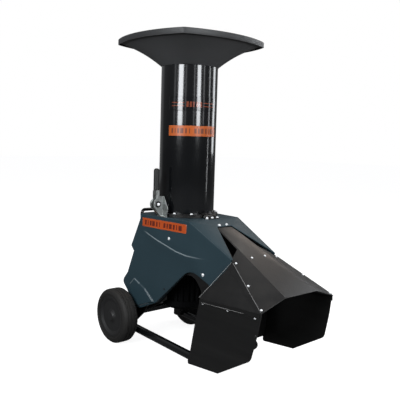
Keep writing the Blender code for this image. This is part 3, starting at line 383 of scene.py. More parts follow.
def finish_group(group, **results):
    """The group with its results joined to its output sockets by name."""
    out = group.nodes.new("NodeGroupOutput")
    for label, value in results.items():
        feed(group, value, out.inputs[label])
    return group


def times(tree, first, second):
    return flow(tree, "Math", operation="MULTIPLY", in_0=first, in_1=second)


def noise(tree, place, scale, detail, roughness):
    return flow(tree, "TexNoise", "Fac", in_Vector=place, in_Scale=scale, in_Detail=detail,
                in_Roughness=roughness)


def climb(tree, value, low, high, top=1.0):
    """0 up to the low value, then in a straight line to the top at the high value."""
    return flow(tree, "MapRange", in_Value=value, in_From_Min=low, in_From_Max=high, in_To_Max=top)


def make_peel():
    """Orange peel: a soft noise of a few millimetres, as a value and a bumped normal."""
    inputs = [PLACE, ("Size", "Float", 0.004), ("Depth", "Float", 0.2)]
    group, given = new_group("orange_peel", inputs, [("Normal", "Vector"), ("Value", "Float")])
    scale = flow(group, "Math", operation="DIVIDE", in_0=1.0, in_1=given["Size"])
    skin = noise(group, given["Place"], scale, 2.0, 0.5)
    normal = flow(group, "Bump", in_Distance=0.0004, in_Height=skin, in_Strength=given["Depth"])
    return finish_group(group, Normal=normal, Value=skin)


def make_dust():
    """Dust mask: upward faces, broken up by a noise, between 0 and the given amount."""
    group, given = new_group("settled_dust", [PLACE, ("Amount", "Float", 0.3)], [("Mask", "Float")])
    up = flow(group, "SeparateXYZ", "Z", in_0=flow(group, "TexCoord", "Normal"))
    patches = climb(group, noise(group, given["Place"], 24.0, 6.0, 0.62), 0.38, 0.72)
    mask = times(group, climb(group, up, 0.15, 1.0), patches)
    return finish_group(group, Mask=times(group, mask, given["Amount"]))


def make_wear():
    """Edge wear: where a rounded normal leaves the true one, broken up by a noise."""
    inputs = [PLACE, ("Width", "Float", 0.0012), ("Amount", "Float", 0.5)]
    group, given = new_group("edge_wear", inputs, [("Mask", "Float")])
    soft = flow(group, "Bevel", samples=4, in_Radius=given["Width"])
    true = flow(group, "NewGeometry", "Normal")
    near = flow(group, "VectorMath", "Value", operation="DOT_PRODUCT", in_0=soft, in_1=true)
    patches = climb(group, noise(group, given["Place"], 60.0, 5.0, 0.6), 0.42, 0.62)
    mask = times(group, climb(group, near, 0.985, 0.86), patches)
    return finish_group(group, Mask=times(group, mask, given["Amount"]))


def make_grain():
    """Grain: a noise stretched along one axis by the three scales, as a value and a normal."""
    inputs = [PLACE, ("Scales", "Vector", (900, 900, 20)), ("Depth", "Float", 0.15)]
    group, given = new_group("drawn_grain", inputs, [("Value", "Float"), ("Normal", "Vector")])
    drawn = flow(group, "VectorMath", operation="MULTIPLY", in_0=given["Place"], in_1=given["Scales"])
    lines = noise(group, drawn, 1.0, 4.0, 0.6)
    normal = flow(group, "Bump", in_Distance=0.0002, in_Height=lines, in_Strength=given["Depth"])
    return finish_group(group, Value=lines, Normal=normal)


PEEL, DUST, WEAR, GRAIN = make_peel(), make_dust(), make_wear(), make_grain()
print("groups:", [g.name for g in (PEEL, DUST, WEAR, GRAIN)])

# %% [markdown]
# ## Coats, plastics and metals
# Each finish has its colour varied a little by a noise, the dust mixed in on top, and the wear last. What is
# the same all over, such as the gloss of a coat or the metal of a bolt, is set on the shader's own sockets.
# The covers and the funnel also carry a share of painted light at each point, and the coat blends a paler
# colour by it.

# %% Finishes
def use_group(tree, group, place, **values):
    """The outputs of a group that is placed in a material with its own values."""
    made = new_node(tree, "Group", node_tree=group, in_Place=place)
    for key, value in values.items():
        made.inputs[key].default_value = value
    return made.outputs


def mix_colour(tree, mask, below, above):
    """Mixed colour: below where the mask is 0 and above where it is 1; each a colour or an output."""
    below, above = ((*value, 1) if isinstance(value, tuple) else value for value in (below, above))
    return flow(tree, "Mix", 2, data_type="RGBA", in_0=mask, in_6=below, in_7=above)


def mix_value(tree, mask, low, high):
    return flow(tree, "MapRange", in_Value=mask, in_To_Min=low, in_To_Max=high)


def start_finish(name, **values):
    """A material with its shader's constant numbers set, and object coordinates to hand."""
    made = bpy.data.materials.new(name)
    made.use_nodes = True
    for key, value in values.items():
        made.node_tree.nodes["Principled BSDF"].inputs[key.replace("_", " ")].default_value = value
    return made, made.node_tree, flow(made.node_tree, "TexCoord", "Object")


def surface(tree, colour, rough, normal):
    """Join what changes over the surface to the shader."""
    shader = tree.nodes["Principled BSDF"]
    for label, value in (("Base Color", colour), ("Roughness", rough), ("Normal", normal)):
        feed(tree, value, shader.inputs[label])


def coat(name, colour, second, gloss, peel=0.15, size=0.004, dust=0.25, dust_colour=(0.16, 0.14, 0.11),
         wear=0.35, bare=(0.35, 0.35, 0.34), painted_light_colour=None, smear=(1, 1, 1), **values):
    """A sprayed coat: two close colours in clouds, orange peel, dust on top, worn edges, and a paler colour as
    painted light where the mesh carries it.
    """
    made, tree, place = start_finish(name, **values)
    clouds = flow(tree, "VectorMath", operation="MULTIPLY", in_0=place, in_1=smear)
    clouds = noise(tree, clouds, 7.0, 3.0, 0.55)
    film = use_group(tree, DUST, place, Amount=dust)["Mask"]
    edge = use_group(tree, WEAR, place, Amount=wear)["Mask"]
    skin = use_group(tree, PEEL, place, Size=size, Depth=peel)["Normal"]
    tone = mix_colour(tree, film, mix_colour(tree, clouds, colour, second), dust_colour)
    # Painted light: a paler colour blended in by the point attribute, as painted highlights on the covers and
    # painted light on the funnel.
    if painted_light_colour:
        tone = mix_colour(tree, flow(tree, "Attribute", "Fac", attribute_name="painted_light_share"), tone, painted_light_colour)
    rough = mix_value(tree, clouds, gloss - 0.05, gloss + 0.06)
    rough = flow(tree, "Math", operation="ADD", in_0=rough, in_1=film)
    surface(tree, mix_colour(tree, edge, tone, bare), rough, skin)
    return made


def metal(name, bright, dull, scales, gloss, tarnish=0.5, metallic=1.0):
    """Bare or plated metal: a directional grain, and clouds of duller plating."""
    made, tree, place = start_finish(name, Metallic=metallic)
    grain = use_group(tree, GRAIN, place, Scales=scales, Depth=0.12)
    patches = climb(tree, noise(tree, place, 45.0, 5.0, 0.6), 0.4, 0.75, tarnish)
    rough = mix_value(tree, grain["Value"], gloss - 0.08, gloss + 0.12)
    surface(tree, mix_colour(tree, patches, bright, dull), rough, grain["Normal"])
    return made


TEAL, PALE_TEAL, WORN_TEAL = (0.0165, 0.0375, 0.0485), (0.0220, 0.0460, 0.0590), (0.10, 0.13, 0.14)
GREY_DUST, BROWN_DUST = (0.07, 0.07, 0.065), (0.06, 0.055, 0.05)
BLACK, SOFT_BLACK = (0.0030, 0.0034, 0.0040), (0.0045, 0.0050, 0.0058)
# body_paint's paler colour is the painted highlight along the covers' crease and plateau edges.
PAINT = coat("body_paint", TEAL, PALE_TEAL, 0.42, peel=0.22, dust=0.08, dust_colour=GREY_DUST, wear=0.25,
             bare=WORN_TEAL, painted_light_colour=(0.30, 0.35, 0.37), Coat_Weight=0.15, Coat_Roughness=0.28)
DECK = coat("deck_paint", TEAL, PALE_TEAL, 0.50, peel=0.22, dust=0.12, dust_colour=GREY_DUST, wear=0.25,
            bare=WORN_TEAL, Specular_IOR_Level=0.35)
GLOSS = coat("black_gloss", BLACK, SOFT_BLACK, 0.14, peel=0.10, size=0.006, dust=0.06,
             dust_colour=BROWN_DUST, wear=0.15, bare=(0.12, 0.12, 0.12), Coat_Weight=0.4,
             Coat_Roughness=0.06)
SHEET = coat("black_sheet", (0.0020, 0.0020, 0.0022), (0.0112, 0.0109, 0.0105), 0.36, peel=0.35, size=0.0022,
             smear=(0.5, 0.5, 7), dust=0.12, dust_colour=(0.055, 0.047, 0.040), wear=0.40,
             bare=(0.14, 0.13, 0.12))
PLASTIC = coat("black_plastic", (0.0110, 0.0110, 0.0112), (0.0145, 0.0143, 0.0140), 0.54, peel=0.55,
               size=0.0012, dust=0.15, dust_colour=BROWN_DUST, wear=0.25, bare=(0.060, 0.058, 0.055))
# funnel_plastic's paler colour is painted light, blended in more towards the top of the flare.
FUNNEL = coat("funnel_plastic", (0.0240, 0.0245, 0.0255), (0.0300, 0.0305, 0.0315), 0.50, peel=0.5,
              size=0.0012, dust=0.08, dust_colour=(0.06, 0.057, 0.055), wear=0.15, bare=(0.06, 0.06, 0.06),
              painted_light_colour=(0.118, 0.119, 0.122))
RUBBER = coat("rubber", (0.0075, 0.0070, 0.0063), (0.0110, 0.0100, 0.0088), 0.66, peel=0.6, size=0.0018,
              dust=0.35, dust_colour=(0.060, 0.048, 0.037), wear=0.3, bare=(0.035, 0.032, 0.028))
# motor_paint is near black and barely reflects: the motor's dark paint, with painted shade for the dark inside
# the arch.
MOTOR = coat("motor_paint", (0.0022, 0.0023, 0.0025), (0.0036, 0.0037, 0.0040), 0.60, peel=0.5, size=0.003,
             dust=0.04, dust_colour=(0.02, 0.018, 0.016), wear=0.05, bare=(0.03, 0.03, 0.03),
             Specular_IOR_Level=0.05)
GREEN = coat("green_plastic", (0.015, 0.20, 0.045), (0.02, 0.25, 0.06), 0.35, size=0.0015, wear=0.1)
RED = coat("red_plastic", (0.42, 0.018, 0.016), (0.50, 0.028, 0.02), 0.35, size=0.0015, wear=0.1)
ZINC = metal("zinc", (0.62, 0.64, 0.63), (0.36, 0.39, 0.36), (260, 260, 260), 0.34)
STEEL = metal("steel", (0.52, 0.52, 0.53), (0.30, 0.29, 0.28), (900, 40, 900), 0.30)
BOLT = metal("bright_fastener", (0.93, 0.94, 0.95), (0.70, 0.70, 0.68), (300, 300, 300), 0.42, tarnish=0.25,
             metallic=0.12)
FINISHES = {"body_paint": PAINT, "black_gloss": GLOSS, "black_sheet": SHEET, "black_plastic": PLASTIC,
            "rubber": RUBBER, "zinc": ZINC, "steel": STEEL, "motor_paint": MOTOR, "green_plastic": GREEN,
            "red_plastic": RED}
# These motor parts share that near-black finish with its painted shade.
DARK = {"motor_fan_cover": MOTOR, "terminal_box": MOTOR, "power_inlet": MOTOR}
slots = {part["node"]: part["material_slot"] for part in frame["record"]["subparts"]}
bodies = frame["record"]["behaviour"]["bodies"]
bodies_of = {solid: body for body, solids in bodies.items() for solid in solids}
finish_of = {solid: DARK.get(solid, FINISHES[slots[solid]]) for solid in nodes}
for solid, thing in nodes.items():
    thing.data.materials.clear()
    thing.data.materials.append(finish_of[solid])
print("finishes:", len(FINISHES) + 3, "bodies:", list(bodies))

# %% [markdown]
# ## The feed tube and the funnel
# The tube is rolled sheet, so its section is a thin ring with a small radius at each end. The funnel is
# pressed plastic: seen from above its rim is a square with bowed sides, and its foot is the tube's circle. At
# every height in between the outline is part way from one to the other. The rim is a band that hangs below
# the point where the flare meets it, which leaves a dark recess all round. The flare's colour is lightened
# more the higher it is, as painted light, and the band is barely lightened, as painted shade.

# %% Tube and funnel
TUBE_R, TUBE_LOW, TUBE_TOP, TUBE_WALL = 0.100, 0.4906, 1.007, 0.002
RIM_TOP, LIP, FUNNEL_WALL = 1.1005, 0.019, 0.004
RIM_HALF, RIM_BOW, RIM_CORNER = 0.183, 0.042, 0.012
SEAM = 0.0003


def rim_reach(angle):
    """Distance from the axis to the bowed, corner-rounded square, by direction.

    Each side is an arc of radius (h^2 + b^2) / 2b, for half side h and bow b; the corners keep a fillet.
    """
    radius = (RIM_HALF ** 2 + RIM_BOW ** 2) / (2 * RIM_BOW)
    span = np.arctan2(RIM_HALF, radius - RIM_BOW)
    turn = np.linspace(-span, span, 801)
    ways = np.stack([np.cos(turn), np.sin(turn)], 1)
    side = ways * (radius - RIM_CORNER) + (RIM_HALF + RIM_BOW - radius, 0)
    keep = np.abs(side[:, 1]) <= side[:, 0] + 1e-9
    round_off = np.linspace(turn[keep][-1], np.pi / 4, 60)
    tip = side[keep][-1] + RIM_CORNER * np.stack([np.cos(round_off), np.sin(round_off)], 1)
    outer = (side + RIM_CORNER * ways)[keep]
    half_side = np.concatenate([outer[outer[:, 1] >= 0], tip])
    bearing = np.arctan2(half_side[:, 1], half_side[:, 0])
    order = np.argsort(bearing)
    folded = np.abs((angle + np.pi / 4) % (np.pi / 2) - np.pi / 4)
    return np.interp(folded, bearing[order], np.linalg.norm(half_side, axis=1)[order])


def make_tube():
    inner, foot = TUBE_R - TUBE_WALL, TUBE_LOW + SEAM
    outline = rounded_profile([(TUBE_R, TUBE_TOP, 0.0006), (TUBE_R, foot, 0.0002), (inner, foot, 0.0002),
                               (inner, TUBE_TOP, 0.0006)], 4)
    mesh = turned("infeed_tube_skin", outline, 192)
    piece("infeed_tube_skin", mesh, GLOSS, "feed_tube", ["infeed_tube"])


def funnel_points(section, angle):
    """Rows of (flare, inset, height): reach = tube radius + (rim's reach - tube radius) * flare - inset."""
    flare, inset, height = np.array(section).T[..., None]
    reach = TUBE_R + (rim_reach(angle) - TUBE_R) * flare - inset
    height = np.broadcast_to(height, reach.shape)
    return np.stack([reach * np.cos(angle), reach * np.sin(angle), height], -1)


def rows(flare, level, pairs):
    """Section rows at one flare: each pair is an inset and a height over the level."""
    return [(flare, inset, level + up) for inset, up in pairs]


def make_funnel():
    """Height of the flare: low + rise * (1 - (1 - flare)^1.65), lifted where it passes under the rim."""
    low, rim_low = TUBE_TOP + SEAM, RIM_TOP - LIP
    rise = rim_low - low
    flare = np.linspace(0.972, 0.0, 40)
    height = low + rise * (1 - (1 - flare) ** 1.65)
    lift = 0.0075 * np.clip((flare - 0.55) / 0.42, 0, 1) ** 2
    under = np.stack([flare, 0 * flare, height + lift], 1)
    above = np.stack([flare, FUNNEL_WALL * (1 - flare) + 0.0018, height + FUNNEL_WALL + lift * 0.6], 1)
    band = (rows(1, RIM_TOP, [(0.0022, 0), (0.0009, -0.0004), (0.0002, -0.0014), (0, -0.003)])
            + rows(1, rim_low, [(0, 0.0012), (0.0004, 0.0003), (0.0012, 0), (0.0028, 0), (0.0036, 0.0004),
                                (0.004, 0.0012), (0.004, 0.0065)])
            + rows(0.985, rim_low, [(0.003, 0.0075)]))
    spigot = rows(0, low, [(0.0003, 0), (0.0025, 0), (0.0030, -0.0005), (0.0030, -0.0345), (0.0034, -0.035),
                           (0.0056, -0.035), (0.0060, -0.0345)])
    mouth = (rows(1, rim_low, [(0.0062, 0.0085), (0.0044, 0.0105), (0.0040, 0.013)])
             + rows(1, RIM_TOP, [(0.0040, -0.002), (0.0036, -0.0007), (0.0030, 0)]))
    section = np.concatenate([band, under, spigot, above[::-1], mouth])
    angle = np.linspace(0, 2 * np.pi, 256, endpoint=False)
    quads = grid_faces(len(section), len(angle), True, True)
    mesh = finish_mesh(mesh_from_arrays("funnel_skin", funnel_points(section, angle), quads), 40)
    level = np.empty(len(mesh.vertices) * 3)
    mesh.vertices.foreach_get("co", level)
    level = level[2::3]
    # Painted light rising up the flare, with the rim band kept nearly dark as painted shade.
    funnel_painted_light = 0.34 + 0.48 * np.clip((level - low) / rise, 0, 1) ** 1.5
    funnel_painted_light[level > rim_low + 0.0004] = 0.06
    mark_painted_light(mesh, funnel_painted_light)
    piece("funnel_skin", shifted(mesh), FUNNEL, "feed_tube", ["funnel"])


make_tube()
make_funnel()
print("tube and funnel done")

# %% [markdown]
# ## Frame, axle and wheels
# The base frame is one tube bent into a U, so it is a circle swept along a path of straight runs and tangent
# arcs. The wheels are solid rubber tyres on moulded rims. Both are profiles turned round the axle, with every
# corner of the profile rounded, because moulded rubber and plastic have no sharp edges.

# %% Frame and wheels
FRAME_REAR, FRAME_FRONT, FRAME_HALF, FRAME_TUBE, FRAME_BEND = -0.190, 0.252, 0.130, 0.014, 0.022
FRAME_REAR_Z, FRAME_FRONT_Z = 0.0575, 0.0395
BEAM_HALF, BEAM_BORE = 0.1475, 0.0083
WHEEL_X, WHEEL_Z, WHEEL_R, WHEEL_HALF, WHEEL_MIDDLE = -0.166, 0.100, 0.100, 0.031, 0.1815
RIM_R, GROOVES, HANDLE_HALF = 0.074, (0.0135, 0.0, -0.0135), 0.074


def frame_run():
    """The frame's path: from a rear end at the right, round the front, to the rear end at the left."""
    fall = (FRAME_REAR_Z - FRAME_FRONT_Z) / (FRAME_FRONT - FRAME_REAR)
    plan = [(FRAME_REAR, -FRAME_HALF), (FRAME_FRONT, -FRAME_HALF), (FRAME_FRONT, FRAME_HALF),
            (FRAME_REAR, FRAME_HALF)]
    run = bent_path([(x, y, FRAME_REAR_Z - fall * (x - FRAME_REAR)) for x, y in plan], FRAME_BEND, 24)
    length = np.concatenate([[0], np.cumsum(np.linalg.norm(np.diff(run, axis=0), axis=1))])
    steps = np.unique(np.concatenate([length, np.arange(0.02, length[-1], 0.02)]))
    return np.stack([np.interp(steps, length, run[:, k]) for k in range(3)], 1)


def make_frame():
    mesh = swept("base_frame_skin", frame_run(), FRAME_TUBE, 32)
    piece("base_frame_skin", mesh, GLOSS, "chassis", ["base_frame"])


def make_beam():
    outline = rounded_profile([(FRAME_TUBE, BEAM_HALF, 0.0012), (FRAME_TUBE, -BEAM_HALF, 0.0012),
                               (BEAM_BORE, -BEAM_HALF, 0.0006), (BEAM_BORE, BEAM_HALF, 0.0006)], 4)
    mesh = turned("axle_beam_skin", outline, 48, (WHEEL_X, 0, WHEEL_Z), True)
    piece("axle_beam_skin", mesh, GLOSS, "chassis", ["axle_beam"])


def make_wheel(side, sign):
    """Tyre and rim: profiles of (radius, along, fillet), where along is measured outwards from the middle."""
    middle, body, half = (WHEEL_X, sign * WHEEL_MIDDLE, WHEEL_Z), f"{side}_wheel", WHEEL_HALF
    groove = [(WHEEL_R - deep, place + along, fillet) for place in GROOVES for deep, along, fillet in (
        (0, 0.0017, 0.0004), (0.0022, 0.0011, 0.0003), (0.0022, -0.0011, 0.0003), (0, -0.0017, 0.0004))]
    shoulder = [(RIM_R, half - 0.0016, 0.0008), (WHEEL_R - 0.0205, half - 0.0016, 0.0004),
                (WHEEL_R - 0.0195, half - 0.0006, 0.0004), (WHEEL_R - 0.0165, half, 0.004),
                (WHEEL_R - 0.006, half - 0.0035, 0.004), (WHEEL_R - 0.0008, half - 0.010, 0.004)]
    outline = shoulder + groove + [(r, -p, f) for r, p, f in reversed(shoulder)]
    tyre = turned(f"tyre_{side}_skin", rounded_profile([(r, sign * p, f) for r, p, f in outline], 5), 160,
                  middle, True)
    piece(f"tyre_{side}_skin", tyre, RUBBER, body, [f"tyre_{side}"])
    edge, pole = RIM_R - SEAM, 0.0001
    face = [(pole, half - 0.001, 0), (0.015, half - 0.001, 0.0012), (0.0195, half - 0.0055, 0.003),
            (0.026, half - 0.0090, 0.003), (0.056, half - 0.0095, 0.004), (0.0655, half - 0.0035, 0.003),
            (0.0705, half - 0.0022, 0.0008), (edge, half - 0.003, 0.0005), (edge, 0.004 - half, 0.0006),
            (edge - 0.004, 0.004 - half, 0.0006), (edge - 0.005, half - 0.0125, 0.003),
            (0.022, half - 0.0132, 0.003), (0.020, 0.0008 - half, 0.0008), (0.0088, 0.0008 - half, 0.0005),
            (0.0088, half - 0.0085, 0.0005), (pole, half - 0.0085, 0)]
    disc = rounded_profile([(r, sign * p, max(f, 1e-5)) for r, p, f in face], 5)
    disc[disc[:, 0] < 3 * pole, 0] = 0
    mesh = turned(f"wheel_rim_{side}_skin", disc, 128, middle, True, closed=False)
    piece(f"wheel_rim_{side}_skin", mesh, PLASTIC, body, [f"wheel_rim_{side}"])


def make_handle():
    """The rear handle: out from the wall, up, across and back down, in a 12 mm rod."""
    wall, out = np.array([-0.1486, 0.400]), np.array([-0.9053, 0.4248])
    knee = wall + out * (wall[0] + 0.168) / 0.9053
    side = [wall + out * 0.0006, knee, (-0.168, 0.487)]
    run = [(x, -HANDLE_HALF, z) for x, z in side] + [(x, HANDLE_HALF, z) for x, z in reversed(side)]
    path = bent_path(run, 0.012, 12)
    mesh = swept("rear_handle_skin", path, 0.006, 24, flat=(0.9, 0.05, 0.43), tip=1.0, sharp=50)
    piece("rear_handle_skin", mesh, GLOSS, "chassis", ["rear_handle"])


make_frame()
make_beam()
for side, sign in SIDES:
    make_wheel(side, sign)
make_handle()
print("frame and wheels done")

# %% [markdown]
# ## The painted side covers
# A side cover is one pressed sheet. Its height over the flat plane is a formula in two coordinates: a ridge
# that rises to the crease and falls to the edges, a small step along the crease, a plateau low at the rear,
# and an edge that rolls in. The panel's outline is filled with a triangle grid that takes its heights from it.
# A second formula, of the distance to the lines that stand proud, gives the painted highlight along them.

# %% Side covers
REAR = [(-0.096, 0.484), (-0.095, 0.467), (-0.1445, 0.3615, 0.006), (-0.129, 0.343), (-0.163, 0.258),
        (-0.193, 0.221, 0.018), (-0.162, 0.188), (-0.127, 0.137, 0.012)]
COVER = REAR + [(-0.088, 0.137, 0.03), (-0.003, 0.175, 0.01), (0.1624, 0.3263, 0.065), (0.315, 0.262),
                (0.345, 0.388), (0.152, 0.484)]
ARCH_ENDS = ((-0.109, 0.137), (0.312, 0.2632))
CREASE = np.array([(-0.110, 0.4400), (-0.070, 0.4240), (-0.020, 0.4082), (0.027, 0.3950), (0.100, 0.3755),
                   (0.150, 0.3690), (0.209, 0.3690), (0.250, 0.3715), (0.300, 0.3760)])
PLATEAU = np.array([(-0.146, 0.216), (-0.1215, 0.241), (-0.0625, 0.215), (-0.014, 0.1765), (-0.090, 0.1465),
                    (-0.128, 0.1475)])
# Painted highlights: pale lines along the plateau's edges, where the pressing catches the light.
PAINTED_HIGHLIGHT_LINES = [  # strength, width and the line's points
    (0.7, 0.0012, [(-0.146, 0.216), (-0.1215, 0.241), (-0.092, 0.228)]),
    (0.22, 0.0016, [(-0.060, 0.2135), (-0.016, 0.178)]),
    (0.5, 0.0013, [(-0.120, 0.1480), (-0.090, 0.1460), (-0.040, 0.1660)])]
SHEET_WALL, GRID_STEP = 0.0016, 0.0036


def body_half(x):
    """Half the body's width, which narrows to the front in a straight line."""
    return 0.1275 - 0.075 * x


def crease_level(x):
    return np.interp(x, *CREASE.T)


def arc_corners(corners, steps):
    """A closed outline of (u, v, radius) corners, with the rounded ones drawn as arcs."""
    spots = [np.array(c[:2]) for c in corners]
    points = []
    for before, here, after, corner in zip(spots[-1:] + spots[:-1], spots, spots[1:] + spots[:1], corners):
        rounded = len(corner) > 2
        points.append(corner_arc(before, here, after, corner[2], steps) if rounded else here[None])
    return np.concatenate(points)


def along_outline(points, spacing):
    """The closed outline cut into equal steps no longer than the spacing, its own corners kept."""
    runs = []
    for a, b in zip(points, np.roll(points, -1, 0)):
        count = max(1, int(np.ceil(np.linalg.norm(b - a) / spacing)))
        runs.append(a + (b - a) * (np.arange(count) / count)[:, None])
    return np.concatenate(runs)


def distance_to(points, line, closed=True):
    """Least distance from every point to the segments of a line."""
    starts = line if closed else line[:-1]
    run = (np.roll(line, -1, 0) if closed else line[1:]) - starts
    length = np.maximum((run ** 2).sum(1), 1e-18)
    share = np.clip(((points[:, None] - starts) * run).sum(2) / length, 0, 1)
    near = starts + run * share[..., None]
    return np.linalg.norm(points[:, None] - near, axis=2).min(1)


def inside(points, outline):
    """Even-odd test of points against a closed outline."""
    a, b = outline, np.roll(outline, -1, 0)
    x, y = points[:, :1], points[:, 1:]
    crosses = (a[:, 1] > y) != (b[:, 1] > y)
    slope = (b[:, 0] - a[:, 0]) / np.where(b[:, 1] == a[:, 1], 1e-12, b[:, 1] - a[:, 1])
    return (crosses & (x < a[:, 0] + (y - a[:, 1]) * slope)).sum(1) % 2 == 1


def smooth(value):
    """A ramp from 0 to 1 that starts and ends level: v^2 (3 - 2v)."""
    value = np.clip(value, 0, 1)
    return value * value * (3 - 2 * value)


def bell(distance, width):
    return np.exp(-(distance / width) ** 2)


OUTLINE = along_outline(arc_corners(COVER, 14), 0.0035)


def cover_rise(x, z):
    """Height over the plane: ridge + step + plateau - rolled edge, each a product of smooth ramps."""
    spots = np.stack([x, z], 1)
    edge = distance_to(spots, OUTLINE)
    above = z - crease_level(x)
    along = smooth((x + 0.085) / 0.10) * smooth((0.26 - x) / 0.09)
    ridge = 0.0036 * along * bell(above, 0.045)
    step = 0.0011 * along * smooth(0.5 - above / 0.004) * smooth(1 + above / 0.035)
    within = np.where(inside(spots, PLATEAU), 1, -1) * distance_to(spots, PLATEAU)
    lean = smooth((0.245 - z) / 0.10)
    plateau = (0.0024 + 0.0040 * lean) * smooth(0.5 + within / 0.006)
    short = np.maximum(SHEET_WALL - edge, 0)
    roll = SHEET_WALL - np.sqrt(np.maximum(SHEET_WALL ** 2 - short ** 2, 0))
    return (ridge + step) * smooth(edge / 0.012) + plateau * smooth(edge / 0.006) - roll


def cover_painted_highlight(x, z):
    """Painted highlight: a thin pale band along the crease and along three runs of the plateau's edge.

    Each band is strength * exp(-(distance / width)^2), and the crease's fades towards its ends.
    """
    spots = np.stack([x, z], 1)
    along = smooth((x + 0.078) / 0.03) * smooth((0.235 - x) / 0.10)
    bands = [0.85 * along * bell(z - crease_level(x) + 0.0004, 0.0014)]
    for strength, width, line in PAINTED_HIGHLIGHT_LINES:
        bands.append(strength * bell(distance_to(spots, np.array(line), False), width))
    return np.clip(np.maximum.reduce(bands), 0, 1)


def cover_spots():
    """Places for the panel's grid: rows beside the edge, the crease and the plateau, and a plain field."""
    run = np.roll(OUTLINE, -1, 0) - np.roll(OUTLINE, 1, 0)
    inward = units(np.stack([run[:, 1], -run[:, 0]], 1))
    if not inside(OUTLINE[:1] + inward[:1] * 1e-4, OUTLINE)[0]:
        inward = -inward
    rims = [OUTLINE + inward * depth for depth in (0.0003, 0.0008, SHEET_WALL)]
    rims = [rim[distance_to(rim, OUTLINE) > 0.0002] for rim in rims]
    t = np.linspace(-0.095, 0.27, 180)
    steps = (-0.0022, -0.0012, -0.0004, 0.0004, 0.0012, 0.0022)
    folds = [np.stack([t, crease_level(t) + step], 1) for step in steps]
    edge = along_outline(PLATEAU, 0.003)
    folds += [edge + (PLATEAU.mean(0) - edge) * share for share in (-0.06, -0.03, 0.0, 0.03, 0.06)]
    folds = np.concatenate(folds)
    folds = folds[inside(folds, OUTLINE) & (distance_to(folds, OUTLINE) > 0.002)]
    (left, foot), (right, head) = OUTLINE.min(0), OUTLINE.max(0)
    u, v = np.meshgrid(np.arange(left, right, GRID_STEP), np.arange(foot, head, GRID_STEP))
    field = np.stack([u.ravel(), v.ravel()], 1)
    field = field[inside(field, OUTLINE) & (distance_to(field, OUTLINE) > 0.0032)]
    field = field[distance_to(field, folds, False) > 0.0005]
    return np.concatenate([OUTLINE, *rims, folds, field])


def arch_strip(sign):
    """The strip bent in along the arch: rows from the panel's edge to 30 mm in, or to the chassis."""
    first, last = sorted(np.linalg.norm(OUTLINE - spot, axis=1).argmin() for spot in ARCH_ENDS)
    arch = OUTLINE[first:last + 1]
    depth = np.array([0.0, 0.0012, 0.005, 0.0098])[:, None]
    reach = body_half(arch[:, 0])
    top = reach - SHEET_WALL
    y = top + (np.maximum(reach - 0.030, 0.1072) - top) * depth / depth[-1]
    places = [np.broadcast_to(row, y.shape) for row in (arch[:, 0], sign * y, arch[:, 1])]
    return np.stack(places, -1).reshape(-1, 3), grid_faces(len(depth), len(arch), False, False)


def make_cover(side, sign):
    """The panel is filled with triangles between its spots, raised by its formula, and given its wall."""
    spots = [Vector(spot) for spot in cover_spots()]
    border = list(range(len(OUTLINE)))
    flat, _, faces, _, _, _ = delaunay_2d_cdt(spots, [], [border], 1, 1e-7)
    x, z = np.array([tuple(spot) for spot in flat]).T
    panel = np.stack([x, sign * (body_half(x) + cover_rise(x, z)), z], 1)
    strip, quads = arch_strip(sign)
    quads = (quads + len(panel)).tolist()
    mesh = bpy.data.meshes.new("side_cover")
    mesh.from_pydata(np.concatenate([panel, strip]).tolist(), [], [tuple(face) for face in faces] + quads)
    mark_painted_light(mesh, np.concatenate([cover_painted_highlight(x, z), np.zeros(len(strip))]))
    finish_mesh(mesh, 30, 1e-5)
    if sum(face.normal.y * face.area for face in mesh.polygons) * sign < 0:
        mesh.flip_normals()
    solid = f"side_cover_{side}"
    made = piece(solid + "_skin", shifted(mesh), PAINT, "chassis", [solid])
    wall = made.modifiers.new("sheet", "SOLIDIFY")
    wall.thickness, wall.offset = SHEET_WALL, -1.0


for side, sign in SIDES:
    make_cover(side, sign)
print("side covers done")

# %% [markdown]
# ## Folded sheet with soft edges
# The deck, the hood and the chassis plates are folded or cut sheet whose shapes the solids already have.
# A copy of each solid is cleaned of its flat triangles, and a narrow bevel rounds its folds and edges. That
# rounding catches the thin line of light that a real bent edge shows.

# %% Dressed copies
HOOD_PARTS = ("hood_top", "hood_facet_left", "hood_facet_right", "hood_side_left", "hood_side_right")
PLATES = ("base_ring", "tube_flange", "motor_plate", "chute_floor", "chamber_drum", "terminal_box",
          "switch_box")
PAIRS = ("frame_bracket", "chassis_cheek", "hood_back", "foot")


def dressed(solid, width, angle, material=None, sharp=30):
    """A merged copy of a solid with its edges beveled, which stands for the solid."""
    mesh = nodes[solid].data.copy()
    mesh.name = solid + "_skin"
    for layer in list(mesh.attributes):
        if layer.name.startswith("custom_normal") or layer.name in ("sharp_edge", "sharp_face"):
            mesh.attributes.remove(layer)
    finish_mesh(mesh, sharp, 2e-6, flat=0.4)
    made = piece(mesh.name, mesh, material or finish_of[solid], bodies_of[solid], [solid])
    soft = made.modifiers.new("soft_edges", "BEVEL")
    soft.width, soft.segments, soft.limit_method = width, 3, "ANGLE"
    soft.angle_limit = np.radians(angle)
    soft.use_clamp_overlap = True
    soft.harden_normals = False


for solid in HOOD_PARTS:
    dressed(solid, 0.0008, 8)
dressed("deck_plate", 0.0016, 8, material=DECK, sharp=12)
dressed("rear_cover", 0.0007, 20)
for solid in PLATES:
    dressed(solid, 0.0005, 40)
for stem in PAIRS:
    for side, _ in SIDES:
        dressed(f"{stem}_{side}", 0.0006, 40)
for solid in ("clamp_base", "clamp_lever", "clamp_bar"):
    dressed(solid, 0.0004, 40)
print("dressed copies done")
